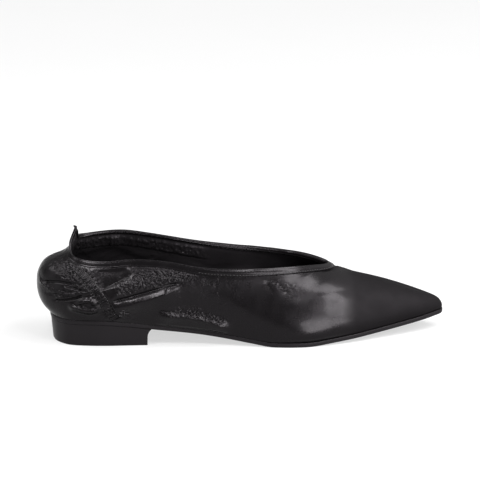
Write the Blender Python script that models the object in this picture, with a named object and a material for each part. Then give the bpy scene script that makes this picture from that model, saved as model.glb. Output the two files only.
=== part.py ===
"""A right shoe: a black leather pointed flat with a low block heel, a bound topline and a gathered,
elasticated back.

Metres, +Z up, +X towards the toe, +Y towards the inner (medial) side of the foot. The origin is on the floor,
at the centre of the heel's bottom face.

The upper is built as a shoemaker's last is drawn. A row of sections stands along the foot, from the centre
back (station 0) to the toe tip (the last station). Each section has a foot point on the feather line, where
the upper meets the sole, and a base point on the centre line of the last. The wall climbs from the foot point
to the ridge above the base point, and the topline cuts it off where the shoe is open.
"""

import math
from collections import namedtuple

import bmesh
import bpy
import numpy as np
from mathutils import Vector
from mathutils.bvhtree import BVHTree

# Lengths and widths of the last, in metres
SOLE_LENGTH = 0.2603
BALL_WIDTH = 0.0746
WAIST_WIDTH = 0.0500
SEAT_WIDTH = 0.0546
VAMP_LENGTH = 0.0763
TOE_SHIFT = 0.0045

# Heights
HEEL_HEIGHT = 0.0150
TOE_SPRING = 0.0096
VAMP_HEIGHT = 0.0390
QUARTER_HEIGHT = 0.0680

# Heel block
HEEL_BLOCK_LENGTH = 0.0614
HEEL_TAPER = 0.0015
HEEL_INSET = 0.0008
BREAST_FLARE = 0.0024
HEEL_EDGE_ROUND = 0.0006

# Sole, insole and upper
SOLE_THICKNESS = 0.0030
SOLE_EDGE_ROUND = 0.0009
INSOLE_THICKNESS = 0.0024
INSOLE_EDGE_ROUND = 0.0006
WALL = 0.0014
LASTING_MARGIN = 0.0070
FEATHER_CHAMFER = 0.0013
CLEARANCE = 0.0003

# Binding round the topline: full width at the throat, narrower round the back
BINDING_WIDTH = 0.0042
BINDING_BACK_WIDTH = 0.0020
BINDING_THICKNESS = 0.0008

# The ridge's slope where the toe's sections fan out
TOE_SLOPE = 0.40

# How finely the upper's sections are drawn
WALL_STEPS = 14

Row = namedtuple("Row", "follows base foot lateral medial centre rise")

# One row for each station. base and foot are shares of the sole's length: where the section stands on the
# centre line, and where its foot point lies. lateral and medial are the foot point's distance from the X axis,
# as shares of half the width that the row follows. centre is the centre line's shift, a share of TOE_SHIFT.
# rise is the ridge's height above the sole, a share of QUARTER_HEIGHT behind the throat and of VAMP_HEIGHT
# ahead of it.
LAST = (
    Row("seat", 0.119, -0.007, 0.000, 0.000, 0.00, 1.03),
    Row("seat", 0.119, -0.002, 0.385, 0.385, 0.00, 1.02),
    Row("seat", 0.119, 0.017, 0.690, 0.690, 0.00, 1.01),
    Row("seat", 0.119, 0.052, 0.900, 0.900, 0.00, 1.00),
    Row("seat", 0.121, 0.121, 1.000, 1.000, 0.00, 1.00),
    Row("seat", 0.177, 0.177, 1.010, 0.985, 0.00, 1.00),
    Row("seat", 0.239, 0.239, 1.015, 0.915, 0.00, 0.99),
    Row("waist", 0.304, 0.304, 1.125, 0.885, 0.05, 0.99),
    Row("waist", 0.369, 0.369, 1.165, 0.830, 0.12, 0.98),
    Row("waist", 0.434, 0.434, 1.245, 0.850, 0.22, 0.97),
    Row("ball", 0.500, 0.500, 0.915, 0.640, 0.34, 0.94),
    Row("ball", 0.561, 0.561, 0.990, 0.755, 0.48, 0.88),
    Row("ball", 0.619, 0.619, 1.015, 0.865, 0.60, 0.795),
    Row("ball", 0.672, 0.672, 0.972, 0.938, 0.70, 0.672),
    Row("vamp", 0.722, 0.722, 0.875, 0.935, 0.78, 0.985),
    Row("vamp", 0.771, 0.772, 0.757, 0.868, 0.84, 0.845),
    Row("vamp", 0.818, 0.822, 0.605, 0.757, 0.89, 0.730),
    Row("vamp", 0.860, 0.870, 0.460, 0.630, 0.93, 0.610),
    Row("vamp", 0.896, 0.914, 0.325, 0.505, 0.96, 0.490),
    Row("vamp", 0.925, 0.951, 0.198, 0.392, 0.98, 0.385),
    Row("vamp", 0.945, 0.978, 0.075, 0.285, 0.99, 0.318),
    Row("vamp", 0.956, 0.994, -0.005, 0.205, 1.00, 0.277),
    Row("vamp", 0.960, 1.000, -0.105, 0.105, 1.00, 0.262),
)
TIP = len(LAST) - 1

Shape = namedtuple("Shape", "station wall")

# The section's wall from the feather line (1, 0) to the ridge (0, 1): each point is the distance out from the
# centre line, as a share of the foot point's, and the height, as a share of the ridge's.
BACK_SHAPE = Shape(0, ((1, 0), (1.16, 0.08), (1.26, 0.20), (1.255, 0.32), (1.15, 0.425), (0.89, 0.515),
                       (0.635, 0.595), (0.54, 0.72), (0, 1)))
TOE_SHAPES = (
    Shape(16, ((1, 0), (1.03, 0.11), (1.02, 0.25), (0.95, 0.42), (0.82, 0.60), (0.65, 0.76), (0.45, 0.88),
               (0.23, 0.97), (0, 1))),
    Shape(19, ((1, 0), (1.05, 0.14), (1.04, 0.30), (0.97, 0.48), (0.84, 0.655), (0.66, 0.80), (0.45, 0.91),
               (0.23, 0.975), (0, 1))),
    Shape(TIP, ((1, 0), (1.02, 0.12), (1.00, 0.25), (0.95, 0.38), (0.87, 0.52), (0.75, 0.645), (0.55, 0.78),
                (0.28, 0.90), (0, 1))),
)
LATERAL_SHAPES = (
    BACK_SHAPE,
    Shape(2, ((1, 0), (1.09, 0.08), (1.15, 0.19), (1.14, 0.31), (1.03, 0.425), (0.86, 0.51), (0.70, 0.575),
              (0.57, 0.70), (0, 1))),
    Shape(4, ((1, 0), (1.08, 0.08), (1.16, 0.17), (1.18, 0.27), (1.12, 0.37), (0.98, 0.46), (0.81, 0.54),
              (0.68, 0.66), (0, 1))),
    Shape(7, ((1, 0), (1.04, 0.08), (1.08, 0.19), (1.11, 0.31), (1.10, 0.42), (1.03, 0.53), (0.93, 0.62),
              (0.75, 0.79), (0, 1))),
    Shape(10, ((1, 0), (1.03, 0.08), (1.03, 0.19), (1.00, 0.32), (0.94, 0.45), (0.87, 0.58), (0.79, 0.71),
               (0.60, 0.85), (0, 1))),
    Shape(13, ((1, 0), (1.02, 0.09), (1.01, 0.21), (0.95, 0.36), (0.84, 0.53), (0.68, 0.70), (0.48, 0.84),
               (0.25, 0.955), (0, 1))),
) + TOE_SHAPES
MEDIAL_SHAPES = (
    BACK_SHAPE,
    Shape(2, ((1, 0), (1.09, 0.08), (1.15, 0.19), (1.14, 0.31), (1.04, 0.425), (0.86, 0.52), (0.68, 0.60),
              (0.54, 0.71), (0, 1))),
    Shape(4, ((1, 0), (1.08, 0.08), (1.16, 0.17), (1.18, 0.28), (1.12, 0.40), (1.00, 0.51), (0.87, 0.62),
              (0.72, 0.74), (0, 1))),
    Shape(7, ((1, 0), (1.12, 0.08), (1.22, 0.19), (1.28, 0.32), (1.27, 0.44), (1.20, 0.55), (1.10, 0.66),
              (0.86, 0.82), (0, 1))),
    Shape(10, ((1, 0), (1.13, 0.09), (1.20, 0.20), (1.22, 0.33), (1.20, 0.46), (1.15, 0.59), (1.08, 0.71),
               (0.78, 0.86), (0, 1))),
    Shape(13, ((1, 0), (1.03, 0.09), (1.03, 0.21), (0.99, 0.36), (0.89, 0.53), (0.74, 0.70), (0.54, 0.84),
               (0.29, 0.955), (0, 1))),
) + TOE_SHAPES

Cut = namedtuple("Cut", "way lateral medial")

# The topline: way is the share of the stations from the throat (0) to the centre back (1), and the heights are
# shares of the ridge's height above the sole at that station.
TOPLINE = (
    Cut(0.000, 1.000, 1.000),
    Cut(0.063, 0.925, 0.917),
    Cut(0.135, 0.832, 0.804),
    Cut(0.207, 0.771, 0.761),
    Cut(0.279, 0.700, 0.708),
    Cut(0.351, 0.648, 0.686),
    Cut(0.423, 0.634, 0.688),
    Cut(0.495, 0.644, 0.699),
    Cut(0.567, 0.638, 0.712),
    Cut(0.640, 0.599, 0.706),
    Cut(0.712, 0.566, 0.684),
    Cut(0.784, 0.576, 0.675),
    Cut(0.856, 0.592, 0.706),
    Cut(0.928, 0.640, 0.780),
    Cut(1.000, 0.750, 0.750),
)

Level = namedtuple("Level", "place heel toe")

# The sole's underside: heights at shares of the sole's length, as shares of the heel's height and the toe
# spring. It lies flat on the floor from FLAT_START to FLAT_END.
FLAT_START = 0.560
FLAT_END = 0.635
UNDERSIDE = (
    Level(-0.02, 1.00, 0.00),
    Level(0.10, 1.00, 0.00),
    Level(0.18, 0.90, 0.00),
    Level(0.25, 0.75, 0.00),
    Level(0.37, 0.50, 0.00),
    Level(0.435, 0.33, 0.00),
    Level(0.50, 0.14, 0.00),
    Level(FLAT_START, 0.00, 0.00),
    Level(FLAT_END, 0.00, 0.00),
    Level(0.71, 0.00, 0.15),
    Level(0.785, 0.00, 0.33),
    Level(0.86, 0.00, 0.54),
    Level(0.94, 0.00, 0.80),
    Level(1.02, 0.00, 1.07),
)

Edge = namedtuple("Edge", "station reach")

# How far the sole reaches past the feather line, as a share of its thickness: it is trimmed close at the waist.
SOLE_REACH = (
    Edge(0, 0.05),
    Edge(4, 0.05),
    Edge(6, -0.05),
    Edge(8, -0.20),
    Edge(10, 0.00),
    Edge(12, 0.20),
    Edge(16, 0.20),
    Edge(TIP, 0.15),
)


def spline(knots, values, at):
    """A natural cubic spline through the values at the knots, read at the given places."""
    knots = np.asarray(knots, float)
    values = np.asarray(values, float)
    flat = values.reshape(len(knots), -1)
    gap = np.diff(knots)
    slope = np.diff(flat, axis=0) / gap[:, None]
    system = np.eye(len(knots))
    right = np.zeros_like(flat)
    for i in range(1, len(knots) - 1):
        system[i, i - 1 : i + 2] = gap[i - 1], 2 * (gap[i - 1] + gap[i]), gap[i]
        right[i] = 6 * (slope[i] - slope[i - 1])
    bend = np.linalg.solve(system, right)
    at = np.atleast_1d(np.asarray(at, float))
    i = np.clip(np.searchsorted(knots, at) - 1, 0, len(gap) - 1)
    h = gap[i][:, None]
    a = (knots[i + 1] - at)[:, None] / h
    b = 1 - a
    found = a * flat[i] + b * flat[i + 1] + ((a**3 - a) * bend[i] + (b**3 - b) * bend[i + 1]) * h**2 / 6
    return found.reshape((len(at),) + values.shape[1:])


def even_spline(knots, values, at):
    """A spline that is level at both ends, because the values are mirrored past them."""
    knots = np.asarray(knots, float)
    values = np.asarray(values, float)
    first, last = knots[0], knots[-1]
    knots = np.concatenate([2 * first - knots[:0:-1], knots, 2 * last - knots[-2::-1]])
    values = np.concatenate([values[:0:-1], values, values[-2::-1]])
    return spline(knots, values, at)


def level_curve(knots, values, at):
    """A smooth curve that never overshoots its points, so that a flat stretch stays flat."""
    knots = np.asarray(knots, float)
    values = np.asarray(values, float)
    gap = np.diff(knots)
    slope = np.diff(values) / gap
    tangent = np.zeros_like(values)
    for i in range(1, len(knots) - 1):
        if slope[i - 1] * slope[i] > 0:
            w = (2 * gap[i] + gap[i - 1], gap[i] + 2 * gap[i - 1])
            tangent[i] = sum(w) / (w[0] / slope[i - 1] + w[1] / slope[i])
    tangent[0], tangent[-1] = slope[0], slope[-1]
    i = np.clip(np.searchsorted(knots, at) - 1, 0, len(gap) - 1)
    h = gap[i]
    t = (at - knots[i]) / h
    return (
        values[i] * (1 + 2 * t) * (1 - t) ** 2
        + values[i + 1] * t**2 * (3 - 2 * t)
        + tangent[i] * h * t * (1 - t) ** 2
        - tangent[i + 1] * h * t**2 * (1 - t)
    )


def underside(x):
    """Height of the sole's underside at a distance from the back of the sole."""
    heights = [row.heel * HEEL_HEIGHT + row.toe * TOE_SPRING for row in UNDERSIDE]
    return level_curve([row.place * SOLE_LENGTH for row in UNDERSIDE], heights, np.asarray(x, float))


def last_columns():
    """The last's rows in metres: base x, foot x, lateral y, medial y, centre y and rise."""
    half = {"seat": SEAT_WIDTH / 2, "waist": WAIST_WIDTH / 2, "ball": BALL_WIDTH / 2, "vamp": BALL_WIDTH / 2}
    rise = {"seat": QUARTER_HEIGHT, "waist": QUARTER_HEIGHT, "ball": QUARTER_HEIGHT, "vamp": VAMP_HEIGHT}
    return np.array(
        [
            (
                row.base * SOLE_LENGTH,
                row.foot * SOLE_LENGTH,
                -row.lateral * half[row.follows],
                row.medial * half[row.follows],
                row.centre * TOE_SHIFT,
                row.rise * rise[row.follows],
            )
            for row in LAST
        ]
    )


COLUMNS = last_columns()
STATIONS = np.arange(len(LAST))
LATERAL, MEDIAL = 0, 1
ORIGIN_X = HEEL_BLOCK_LENGTH / 2


def loop_spline(column_lateral, column_medial, side, at):
    """A column that runs round the whole shoe, read on one side: lateral out to the tip, and medial back."""
    here, there = (column_lateral, column_medial) if side == LATERAL else (column_medial, column_lateral)
    knots = np.concatenate([-STATIONS[:0:-1], STATIONS, 2 * TIP - STATIONS[-2::-1]])
    values = np.concatenate([there[:0:-1], here, there[-2::-1]])
    return spline(knots, values, at)


def foot_point(side, u):
    """The points on the feather line at stations u: x and y."""
    x = even_spline(STATIONS, COLUMNS[:, 1], u)
    y = loop_spline(COLUMNS[:, 2], COLUMNS[:, 3], side, u)
    return np.stack([x, y], axis=-1)


def base_point(u):
    """The points on the last's centre line at stations u, x and y, and the ridge's heights above the sole."""
    x, y, rise = even_spline(STATIONS, COLUMNS[:, [0, 4, 5]], u).T
    return np.stack([x, y], axis=-1), rise


def station_at(place, column, start):
    """The station past start at which a column of the last reaches a distance from the back of the sole."""
    fine = np.linspace(start, TIP, 1500)
    return np.interp(place, even_spline(STATIONS, COLUMNS[:, column], fine), fine)


THROAT_X = SOLE_LENGTH - VAMP_LENGTH
THROAT = float(station_at(THROAT_X, 0, 4))


def topline_share(side, u):
    """The topline's height at station u, as a share of the ridge's: 1 from the throat forward."""
    lateral = [(cut.way - 1, cut.lateral) for cut in TOPLINE]
    medial = [(1 - cut.way, cut.medial) for cut in TOPLINE[-2::-1]]
    knots, heights = np.array(lateral + medial).T
    from_back = u / THROAT
    return float(spline(knots, heights, -from_back if side == LATERAL else from_back)[0])


def wall_shape(side, u):
    """The section's wall at station u, as shares: an array of points (out, up)."""
    shapes = LATERAL_SHAPES if side == LATERAL else MEDIAL_SHAPES
    return even_spline([shape.station for shape in shapes], [shape.wall for shape in shapes], u)[0]


def wall_curve(side, u, steps, reach, rise, tilt):
    """The wall's curve (out, up) in metres, cut at the topline, as steps + 1 evenly spaced points. tilt is the
    slope with which it leaves the ridge."""
    shape = wall_shape(side, u) * (reach, rise)
    # The mirrored points past the ridge make the wall smooth across the centre line.
    beyond = shape[-2::-1] * (-1, 1) + np.outer(shape[-2::-1, 0], (0, 2 * tilt))
    mirrored = np.concatenate([shape, beyond])
    way = np.concatenate([[0], np.cumsum(np.hypot(*np.diff(mirrored, axis=0).T))])
    curve = spline(way, mirrored, np.linspace(0, way[len(shape) - 1], 400))
    curve[-1] = 0, rise
    if u < THROAT:
        height = topline_share(side, u) * rise
        last = len(curve) - 2 - int(np.argmax(curve[-2::-1, 1] < height))
        share = (height - curve[last, 1]) / (curve[last + 1, 1] - curve[last, 1])
        end = curve[last] + share * (curve[last + 1] - curve[last])
        curve = np.concatenate([curve[: last + 1], [end]])
    length = np.concatenate([[0], np.cumsum(np.hypot(*np.diff(curve, axis=0).T))])
    even = np.linspace(0, length[-1], steps + 1)
    return np.interp(even, length, curve[:, 0]), np.interp(even, length, curve[:, 1])


def section(side, u, steps):
    """The outer face of the upper at station u: two points of the lasting margin, turned in under the last,
    then the wall from the feather line to the topline or the ridge."""
    foot = foot_point(side, u)[0]
    base, rise = base_point(u)
    base, rise = base[0], rise[0]
    reach = np.linalg.norm(foot - base)
    heading = (foot - base) / reach
    out, up = wall_curve(side, u, steps, reach, rise, TOE_SLOPE * max(0, heading[0]))
    up = up + FEATHER_CHAMFER * np.linspace(1, 0, len(up))
    margin = min(LASTING_MARGIN, reach / 2)
    out = np.concatenate([[reach - margin, reach - FEATHER_CHAMFER], out])
    up = np.concatenate([[0, 0], up])
    plan = base + out[:, None] * heading
    seat_x = np.where(np.arange(len(out)) < 2, plan[:, 0], foot[0])
    seat = underside(seat_x) + SOLE_THICKNESS + CLEARANCE
    return np.column_stack([plan[:, 0] - ORIGIN_X, plan[:, 1], seat + up])


def back_stations():
    """The stations from the centre back to the sole's flat spot, which the upper and the sole share."""
    flat = float(station_at(FLAT_START * SOLE_LENGTH, 1, 4))
    return [0, 0.35, 0.7, 1.1, 1.5, 1.9, 2.4, 2.9, 3.4] + list(np.linspace(4, flat, 13))


def upper_stations():
    """The stations at which the upper is drawn: closer together round the heel, the throat and the toe."""
    start = 0.58 * SOLE_LENGTH
    # Rows an even distance apart across the throat's parabola
    back = [THROAT_X - (THROAT_X - start) * share**2 for share in np.linspace(1, 0, 9)]
    throat = list(station_at(back, 0, 4))
    vamp = list(np.arange(14.4, 18.9, 0.75))
    toe = list(np.linspace(19, TIP, 9))
    return np.array(back_stations() + throat + vamp + toe)


def inset_side(side, stations, inset):
    """One side's points on the feather line, moved in by a distance square to it."""
    step = 0.02
    # Past an end station the mirrored splines go on round to the other side.
    along = foot_point(side, stations + step) - foot_point(side, stations - step)
    along /= np.linalg.norm(along, axis=1)[:, None]
    inward = np.column_stack([-along[:, 1], along[:, 0]]) * (1 if side == LATERAL else -1)
    return foot_point(side, stations) + inward * np.reshape(inset, (-1, 1))


def outline(stations, inset):
    """The feather line as a closed loop of points, moved in by a distance. It runs out along the lateral side
    to the tip and back along the medial one."""
    lateral, medial = (inset_side(side, stations, inset) for side in (LATERAL, MEDIAL))
    return np.concatenate([lateral, medial[-2:0:-1]])


def margin_edge(stations, gap):
    """The lasting margin's inner edge as a closed loop, moved in by a gap."""
    points = []
    for side in (LATERAL, MEDIAL):
        foot = foot_point(side, stations)
        base, _ = base_point(stations)
        reach = np.linalg.norm(foot - base, axis=1)
        keep = reach - np.minimum(LASTING_MARGIN, reach / 2) - gap
        points.append(base + (foot - base) * (keep / reach)[:, None])
    return np.concatenate([points[0], points[1][-2:0:-1]])


def new_object(name, vertices, faces, material, closed=True):
    mesh = bpy.data.meshes.new(name)
    mesh.from_pydata([tuple(v) for v in vertices], [], faces)
    mesh.materials.append(material)
    piece = bpy.data.objects.new(name, mesh)
    bpy.context.collection.objects.link(piece)
    if closed:
        shaped = bmesh.new()
        shaped.from_mesh(mesh)
        bmesh.ops.recalc_face_normals(shaped, faces=shaped.faces)
        if shaped.calc_volume(signed=True) < 0:
            bmesh.ops.reverse_faces(shaped, faces=shaped.faces)
        shaped.to_mesh(mesh)
        shaped.free()
    mesh.shade_smooth()
    mesh.set_sharp_from_angle(angle=math.radians(35))
    return piece


def plain_material(name, colour, roughness):
    material = bpy.data.materials.new(name)
    material.use_nodes = True
    shader = material.node_tree.nodes["Principled BSDF"]
    shader.inputs["Base Color"].default_value = (*colour, 1)
    shader.inputs["Roughness"].default_value = roughness
    return material


def bridge(first, second, count):
    """Quads between two closed loops of the same count, given their first vertices."""
    return [(first + i, first + (i + 1) % count, second + (i + 1) % count, second + i) for i in range(count)]


def lengthwise_cap(first, count):
    """Faces that close a loop with strips across the shoe, each between a pair of facing points."""
    half = count // 2
    faces = []
    for i in range(half):
        near, far = first + i, first + (count - i) % count
        next_near, next_far = first + i + 1, first + (count - i - 1) % count
        faces.append(tuple(dict.fromkeys((near, next_near, next_far, far))))
    return faces


def stacked_solid(name, loops, material):
    """A solid with the closed loops one above another, capped at both ends."""
    count = len(loops[0])
    vertices = np.concatenate(loops)
    faces = lengthwise_cap(0, count) + lengthwise_cap((len(loops) - 1) * count, count)
    for i in range(len(loops) - 1):
        faces += bridge(i * count, (i + 1) * count, count)
    return new_object(name, vertices, faces, material)


def lift(plan, height):
    """A plan loop set at a height above the sole's underside."""
    return np.column_stack([plan[:, 0] - ORIGIN_X, plan[:, 1], underside(plan[:, 0]) + height])


def sole_stations():
    flat = station_at(np.array([FLAT_START, FLAT_END]) * SOLE_LENGTH, 1, 4)
    middle = list(np.linspace(flat[0], flat[1], 3)[1:])
    front = list(np.linspace(flat[1] + 0.6, 19, 10))
    toe = list(np.linspace(19.5, TIP, 8))
    return np.array(back_stations() + middle + front + toe)


def sole_reach(stations):
    """How far the sole reaches past the feather line at the stations."""
    shares = level_curve([edge.station for edge in SOLE_REACH], [edge.reach for edge in SOLE_REACH], stations)
    return SOLE_THICKNESS * shares


def make_outsole(material):
    stations = sole_stations()
    rounds = (
        (SOLE_EDGE_ROUND, 0),
        (0.3 * SOLE_EDGE_ROUND, 0.3 * SOLE_EDGE_ROUND),
        (0, SOLE_EDGE_ROUND),
        (0, SOLE_THICKNESS),
    )
    loops = [lift(outline(stations, inset - sole_reach(stations)), height) for inset, height in rounds]
    return stacked_solid("outsole", loops, material)


def make_insole(material):
    stations = sole_stations()
    low = SOLE_THICKNESS + CLEARANCE
    step = low + WALL + CLEARANCE
    top = step + INSOLE_THICKNESS
    edge = outline(stations, WALL + 3 * CLEARANCE)
    filler = margin_edge(stations, 2 * CLEARANCE)
    loops = [
        lift(filler, low),
        lift(filler, step),
        lift(edge, step),
        lift(edge, top - INSOLE_EDGE_ROUND),
        lift(outline(stations, WALL + 3 * CLEARANCE + INSOLE_EDGE_ROUND), top),
    ]
    return stacked_solid("insole", loops, material)


def heel_loop(inset, breast, steps=14):
    """The heel block's outline, from the lateral end of the breast round the back to the medial end."""
    stations = float(station_at(breast, 1, 4)) * np.linspace(1, 0, steps) ** 0.8
    lateral, medial = (inset_side(side, stations, inset) for side in (LATERAL, MEDIAL))
    loop = np.concatenate([lateral, medial[-2::-1]])
    loop[0, 0] = loop[-1, 0] = breast
    return loop


def make_heel(material):
    """The block: it tapers a little towards the floor, and its front curves forward into the waist."""
    curve_start = 0.35
    rounds = [(0, 1), (0.3, 0.3), (1, 0)]
    rows = [(HEEL_EDGE_ROUND * up / HEEL_HEIGHT, HEEL_EDGE_ROUND * back) for up, back in rounds]
    rows += [(share, 0) for share in (curve_start, 0.60, 0.76, 0.89, 1)]
    loops = []
    for share, rounding in rows:
        flare = BREAST_FLARE * max(0, (share - curve_start) / (1 - curve_start)) ** 3
        plan = heel_loop(HEEL_INSET + HEEL_TAPER * (1 - share) + rounding, HEEL_BLOCK_LENGTH - rounding + flare)
        height = share * (underside(plan[:, 0]) - CLEARANCE)
        loops.append(np.column_stack([plan[:, 0] - ORIGIN_X, plan[:, 1], height]))
    count = len(loops[0])
    faces = []
    for first in (0, (len(loops) - 1) * count):
        for i in range(count // 2):
            facing = first + count - 1 - i
            faces.append(tuple(dict.fromkeys((first + i, first + i + 1, facing - 1, facing))))
    for i in range(len(loops) - 1):
        faces += bridge(i * count, (i + 1) * count, count)
    return new_object("heel", np.concatenate(loops), faces, material)


def sheet_mesh(stations, steps):
    """The upper's outer face: its points, its faces, and the rim's points in order round the topline."""
    rows = steps + 3
    points, index = [], {}
    grid = {}
    for side in (LATERAL, MEDIAL):
        for s, u in enumerate(stations):
            for r, point in enumerate(section(side, u, steps)):
                key = tuple(np.round(point, 7))
                if key not in index:
                    index[key] = len(points)
                    points.append(point)
                grid[side, s, r] = index[key]
    faces = []
    for side in (LATERAL, MEDIAL):
        for s in range(len(stations) - 1):
            for r in range(rows - 1):
                around = ((s, r), (s + 1, r), (s + 1, r + 1), (s, r + 1))
                corners = tuple(dict.fromkeys(grid[side, i, k] for i, k in around))
                if len(corners) > 2:
                    faces.append(corners if side == LATERAL else corners[::-1])
    points = np.array(points)
    open_stations = [s for s, u in enumerate(stations) if u <= THROAT + 1e-6]
    rim = [grid[LATERAL, s, rows - 1] for s in open_stations]
    rim += [grid[MEDIAL, s, rows - 1] for s in open_stations[-2:0:-1]]
    return points, faces, points[rim]


def make_upper(material):
    """The vamp and quarters as one hollow shell, open at the topline and underneath."""
    points, faces, _ = sheet_mesh(upper_stations(), WALL_STEPS)
    upper = new_object("upper", points, faces, material, closed=False)
    wall = upper.modifiers.new("wall", "SOLIDIFY")
    wall.thickness = WALL
    wall.offset = -1
    wall.use_even_offset = True
    wall.use_quality_normals = True
    return upper


def binding_frames():
    """The upper's rim points, and a function that finds the nearest point and normal of its outer face."""
    _, _, rim = sheet_mesh(upper_stations(), WALL_STEPS)
    fine = np.concatenate([np.linspace(0, THROAT, 120), np.linspace(THROAT, 17, 40)[1:]])
    points, faces, _ = sheet_mesh(fine, 3 * WALL_STEPS)
    shaped = bmesh.new()
    vertices = [shaped.verts.new(p) for p in points]
    for corners in faces:
        shaped.faces.new([vertices[i] for i in corners])
    bmesh.ops.triangulate(shaped, faces=shaped.faces)
    shaped.normal_update()
    shaped.verts.index_update()
    shaped.faces.ensure_lookup_table()
    tree = BVHTree.FromBMesh(shaped)
    normals = np.array([v.normal for v in shaped.verts])
    corners = [[v.index for v in face.verts] for face in shaped.faces]
    shaped.free()

    def on_surface(place):
        found, _, face, _ = tree.find_nearest(Vector(place))
        near = corners[face]
        gap = np.array([np.linalg.norm(points[i] - np.array(found)) for i in near])
        weight = 1 / (gap + 1e-6)
        normal = (normals[near] * weight[:, None]).sum(axis=0)
        return np.array(found), normal / np.linalg.norm(normal)

    return rim, on_surface


def make_binding(material):
    """A folded strip straddling the rim: one leg outside, one inside, and a rounded fold above."""
    places, on_surface = binding_frames()
    t, c = BINDING_THICKNESS, 1.3 * CLEARANCE
    inside = -WALL - c
    reach = (0.25, 0.6, 1)
    legs_out = [(w, c) for w in reach] + [(w, c + t) for w in reach[::-1]]
    legs_in = [(w, inside - t) for w in reach] + [(w, inside) for w in reach[::-1]]
    middle = (c + inside) / 2
    fold_out = [(-0.2 * t, c + t), (-c - 0.75 * t, c + 0.35 * t), (-c - t, middle)]
    fold_in = [(-c - 0.75 * t, inside - 0.35 * t), (-0.2 * t, inside - t)]
    groove = [(-c, inside), (-c, c)]
    rows = []
    for i, place in enumerate(places):
        _, normal = on_surface(place)
        along = places[(i + 1) % len(places)] - places[i - 1]
        along /= np.linalg.norm(along)
        below = np.cross(along, normal)
        below /= np.linalg.norm(below)
        normal = np.cross(below, along)
        from_back = min(1, (place[0] - places[0][0]) / (THROAT_X / 2))
        width = BINDING_BACK_WIDTH + (BINDING_WIDTH - BINDING_BACK_WIDTH) * math.sin(from_back * math.pi / 2)
        row = []
        for w, h in legs_out:
            found, outward = on_surface(place + below * w * width)
            row.append(found + outward * h)
        for w, h in fold_out + fold_in:
            row.append(place + below * w + normal * h)
        for w, h in legs_in:
            found, outward = on_surface(place + below * w * width)
            row.append(found + outward * h)
        for w, h in groove:
            row.append(place + below * w + normal * h)
        rows.append(row)
    count, size = len(rows), len(rows[0])
    faces = []
    for i in range(count):
        a, b = i * size, (i + 1) % count * size
        faces += [(a + k, b + k, b + (k + 1) % size, a + (k + 1) % size) for k in range(size)]
    return new_object("collar_binding", np.concatenate(rows), faces, material)


def main():
    for piece in list(bpy.data.objects):
        bpy.data.objects.remove(piece, do_unlink=True)
    make_outsole(plain_material("outsole rubber", (0.016, 0.015, 0.016), 0.55))
    make_heel(plain_material("heel cover", (0.018, 0.017, 0.018), 0.45))
    make_insole(plain_material("insole lining", (0.030, 0.027, 0.027), 0.80))
    make_upper(plain_material("black leather", (0.022, 0.020, 0.022), 0.42))
    make_binding(plain_material("binding leather", (0.020, 0.018, 0.020), 0.40))


main()
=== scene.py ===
"""Looks for the flat shoe: soft black leather with its folds, a ruched elastic band on each side, a gathered
elastic casing inside the topline, a bound edge with its stitches, and a rubber sole and heel.

Metres, +Z up, +X towards the toe, +Y towards the inner (medial) side of the foot, as in the CAD part. The
leather is drawn again here from the same last, finely enough to hold its folds.
"""

import math
from collections import namedtuple

import bmesh
import bpy
import numpy as np
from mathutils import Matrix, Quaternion, Vector, noise
from mathutils.bvhtree import BVHTree
from mathutils.kdtree import KDTree


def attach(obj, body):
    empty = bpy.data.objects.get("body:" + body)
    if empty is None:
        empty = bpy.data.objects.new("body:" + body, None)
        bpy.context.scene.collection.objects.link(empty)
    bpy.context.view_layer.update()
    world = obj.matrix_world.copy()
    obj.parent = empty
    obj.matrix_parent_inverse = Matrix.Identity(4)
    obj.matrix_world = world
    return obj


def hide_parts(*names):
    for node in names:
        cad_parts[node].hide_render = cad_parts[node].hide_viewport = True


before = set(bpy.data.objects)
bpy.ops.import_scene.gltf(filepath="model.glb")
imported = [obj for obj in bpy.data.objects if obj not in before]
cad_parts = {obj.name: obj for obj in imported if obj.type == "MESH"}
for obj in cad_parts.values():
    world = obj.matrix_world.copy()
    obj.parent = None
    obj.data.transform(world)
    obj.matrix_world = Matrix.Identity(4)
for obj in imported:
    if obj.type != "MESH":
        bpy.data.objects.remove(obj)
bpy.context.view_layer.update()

# Lengths and widths of the last, in metres
SOLE_LENGTH = 0.2603
BALL_WIDTH = 0.0746
WAIST_WIDTH = 0.0500
SEAT_WIDTH = 0.0546
VAMP_LENGTH = 0.0763
TOE_SHIFT = 0.0045

# Heights
HEEL_HEIGHT = 0.0150
TOE_SPRING = 0.0096
VAMP_HEIGHT = 0.0390
QUARTER_HEIGHT = 0.0680

# Heel block
HEEL_BLOCK_LENGTH = 0.0614
HEEL_TAPER = 0.0015
HEEL_INSET = 0.0003
BREAST_FLARE = 0.0024
HEEL_EDGE_ROUND = 0.0006

# Sole and upper
SOLE_THICKNESS = 0.0030
SOLE_EDGE_ROUND = 0.0009
SOLE_TOP_ROUND = 0.0003
WALL = 0.0014
LASTING_MARGIN = 0.0070
HEEL_CHAMFER = 0.0001
TOE_CHAMFER = 0.0005
SEAM = 0.00004

# Binding round the topline: full width at the throat, narrower round the back, and padded towards the throat
BINDING_WIDTH = 0.0042
BINDING_BACK_WIDTH = 0.0020
BINDING_RISE = 0.0006
BINDING_LEATHER = 0.00042
BINDING_PADDING = 0.00063
RIM_WALL = 0.0009
RIM_BACK_SHIFT = 0.0016

# The binding's stitches start ahead of STITCHES_START and lie at STITCH_LINE, a share of its width
STITCHES_START = 0.094
STITCH_LINE = 0.79

# The stitches' pitch and length, and their thread's radius
BINDING_STITCH = (0.0021, 0.0015)
BAND_STITCH = (0.0019, 0.0013)
STITCH_RADIUS = 0.00018

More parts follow.
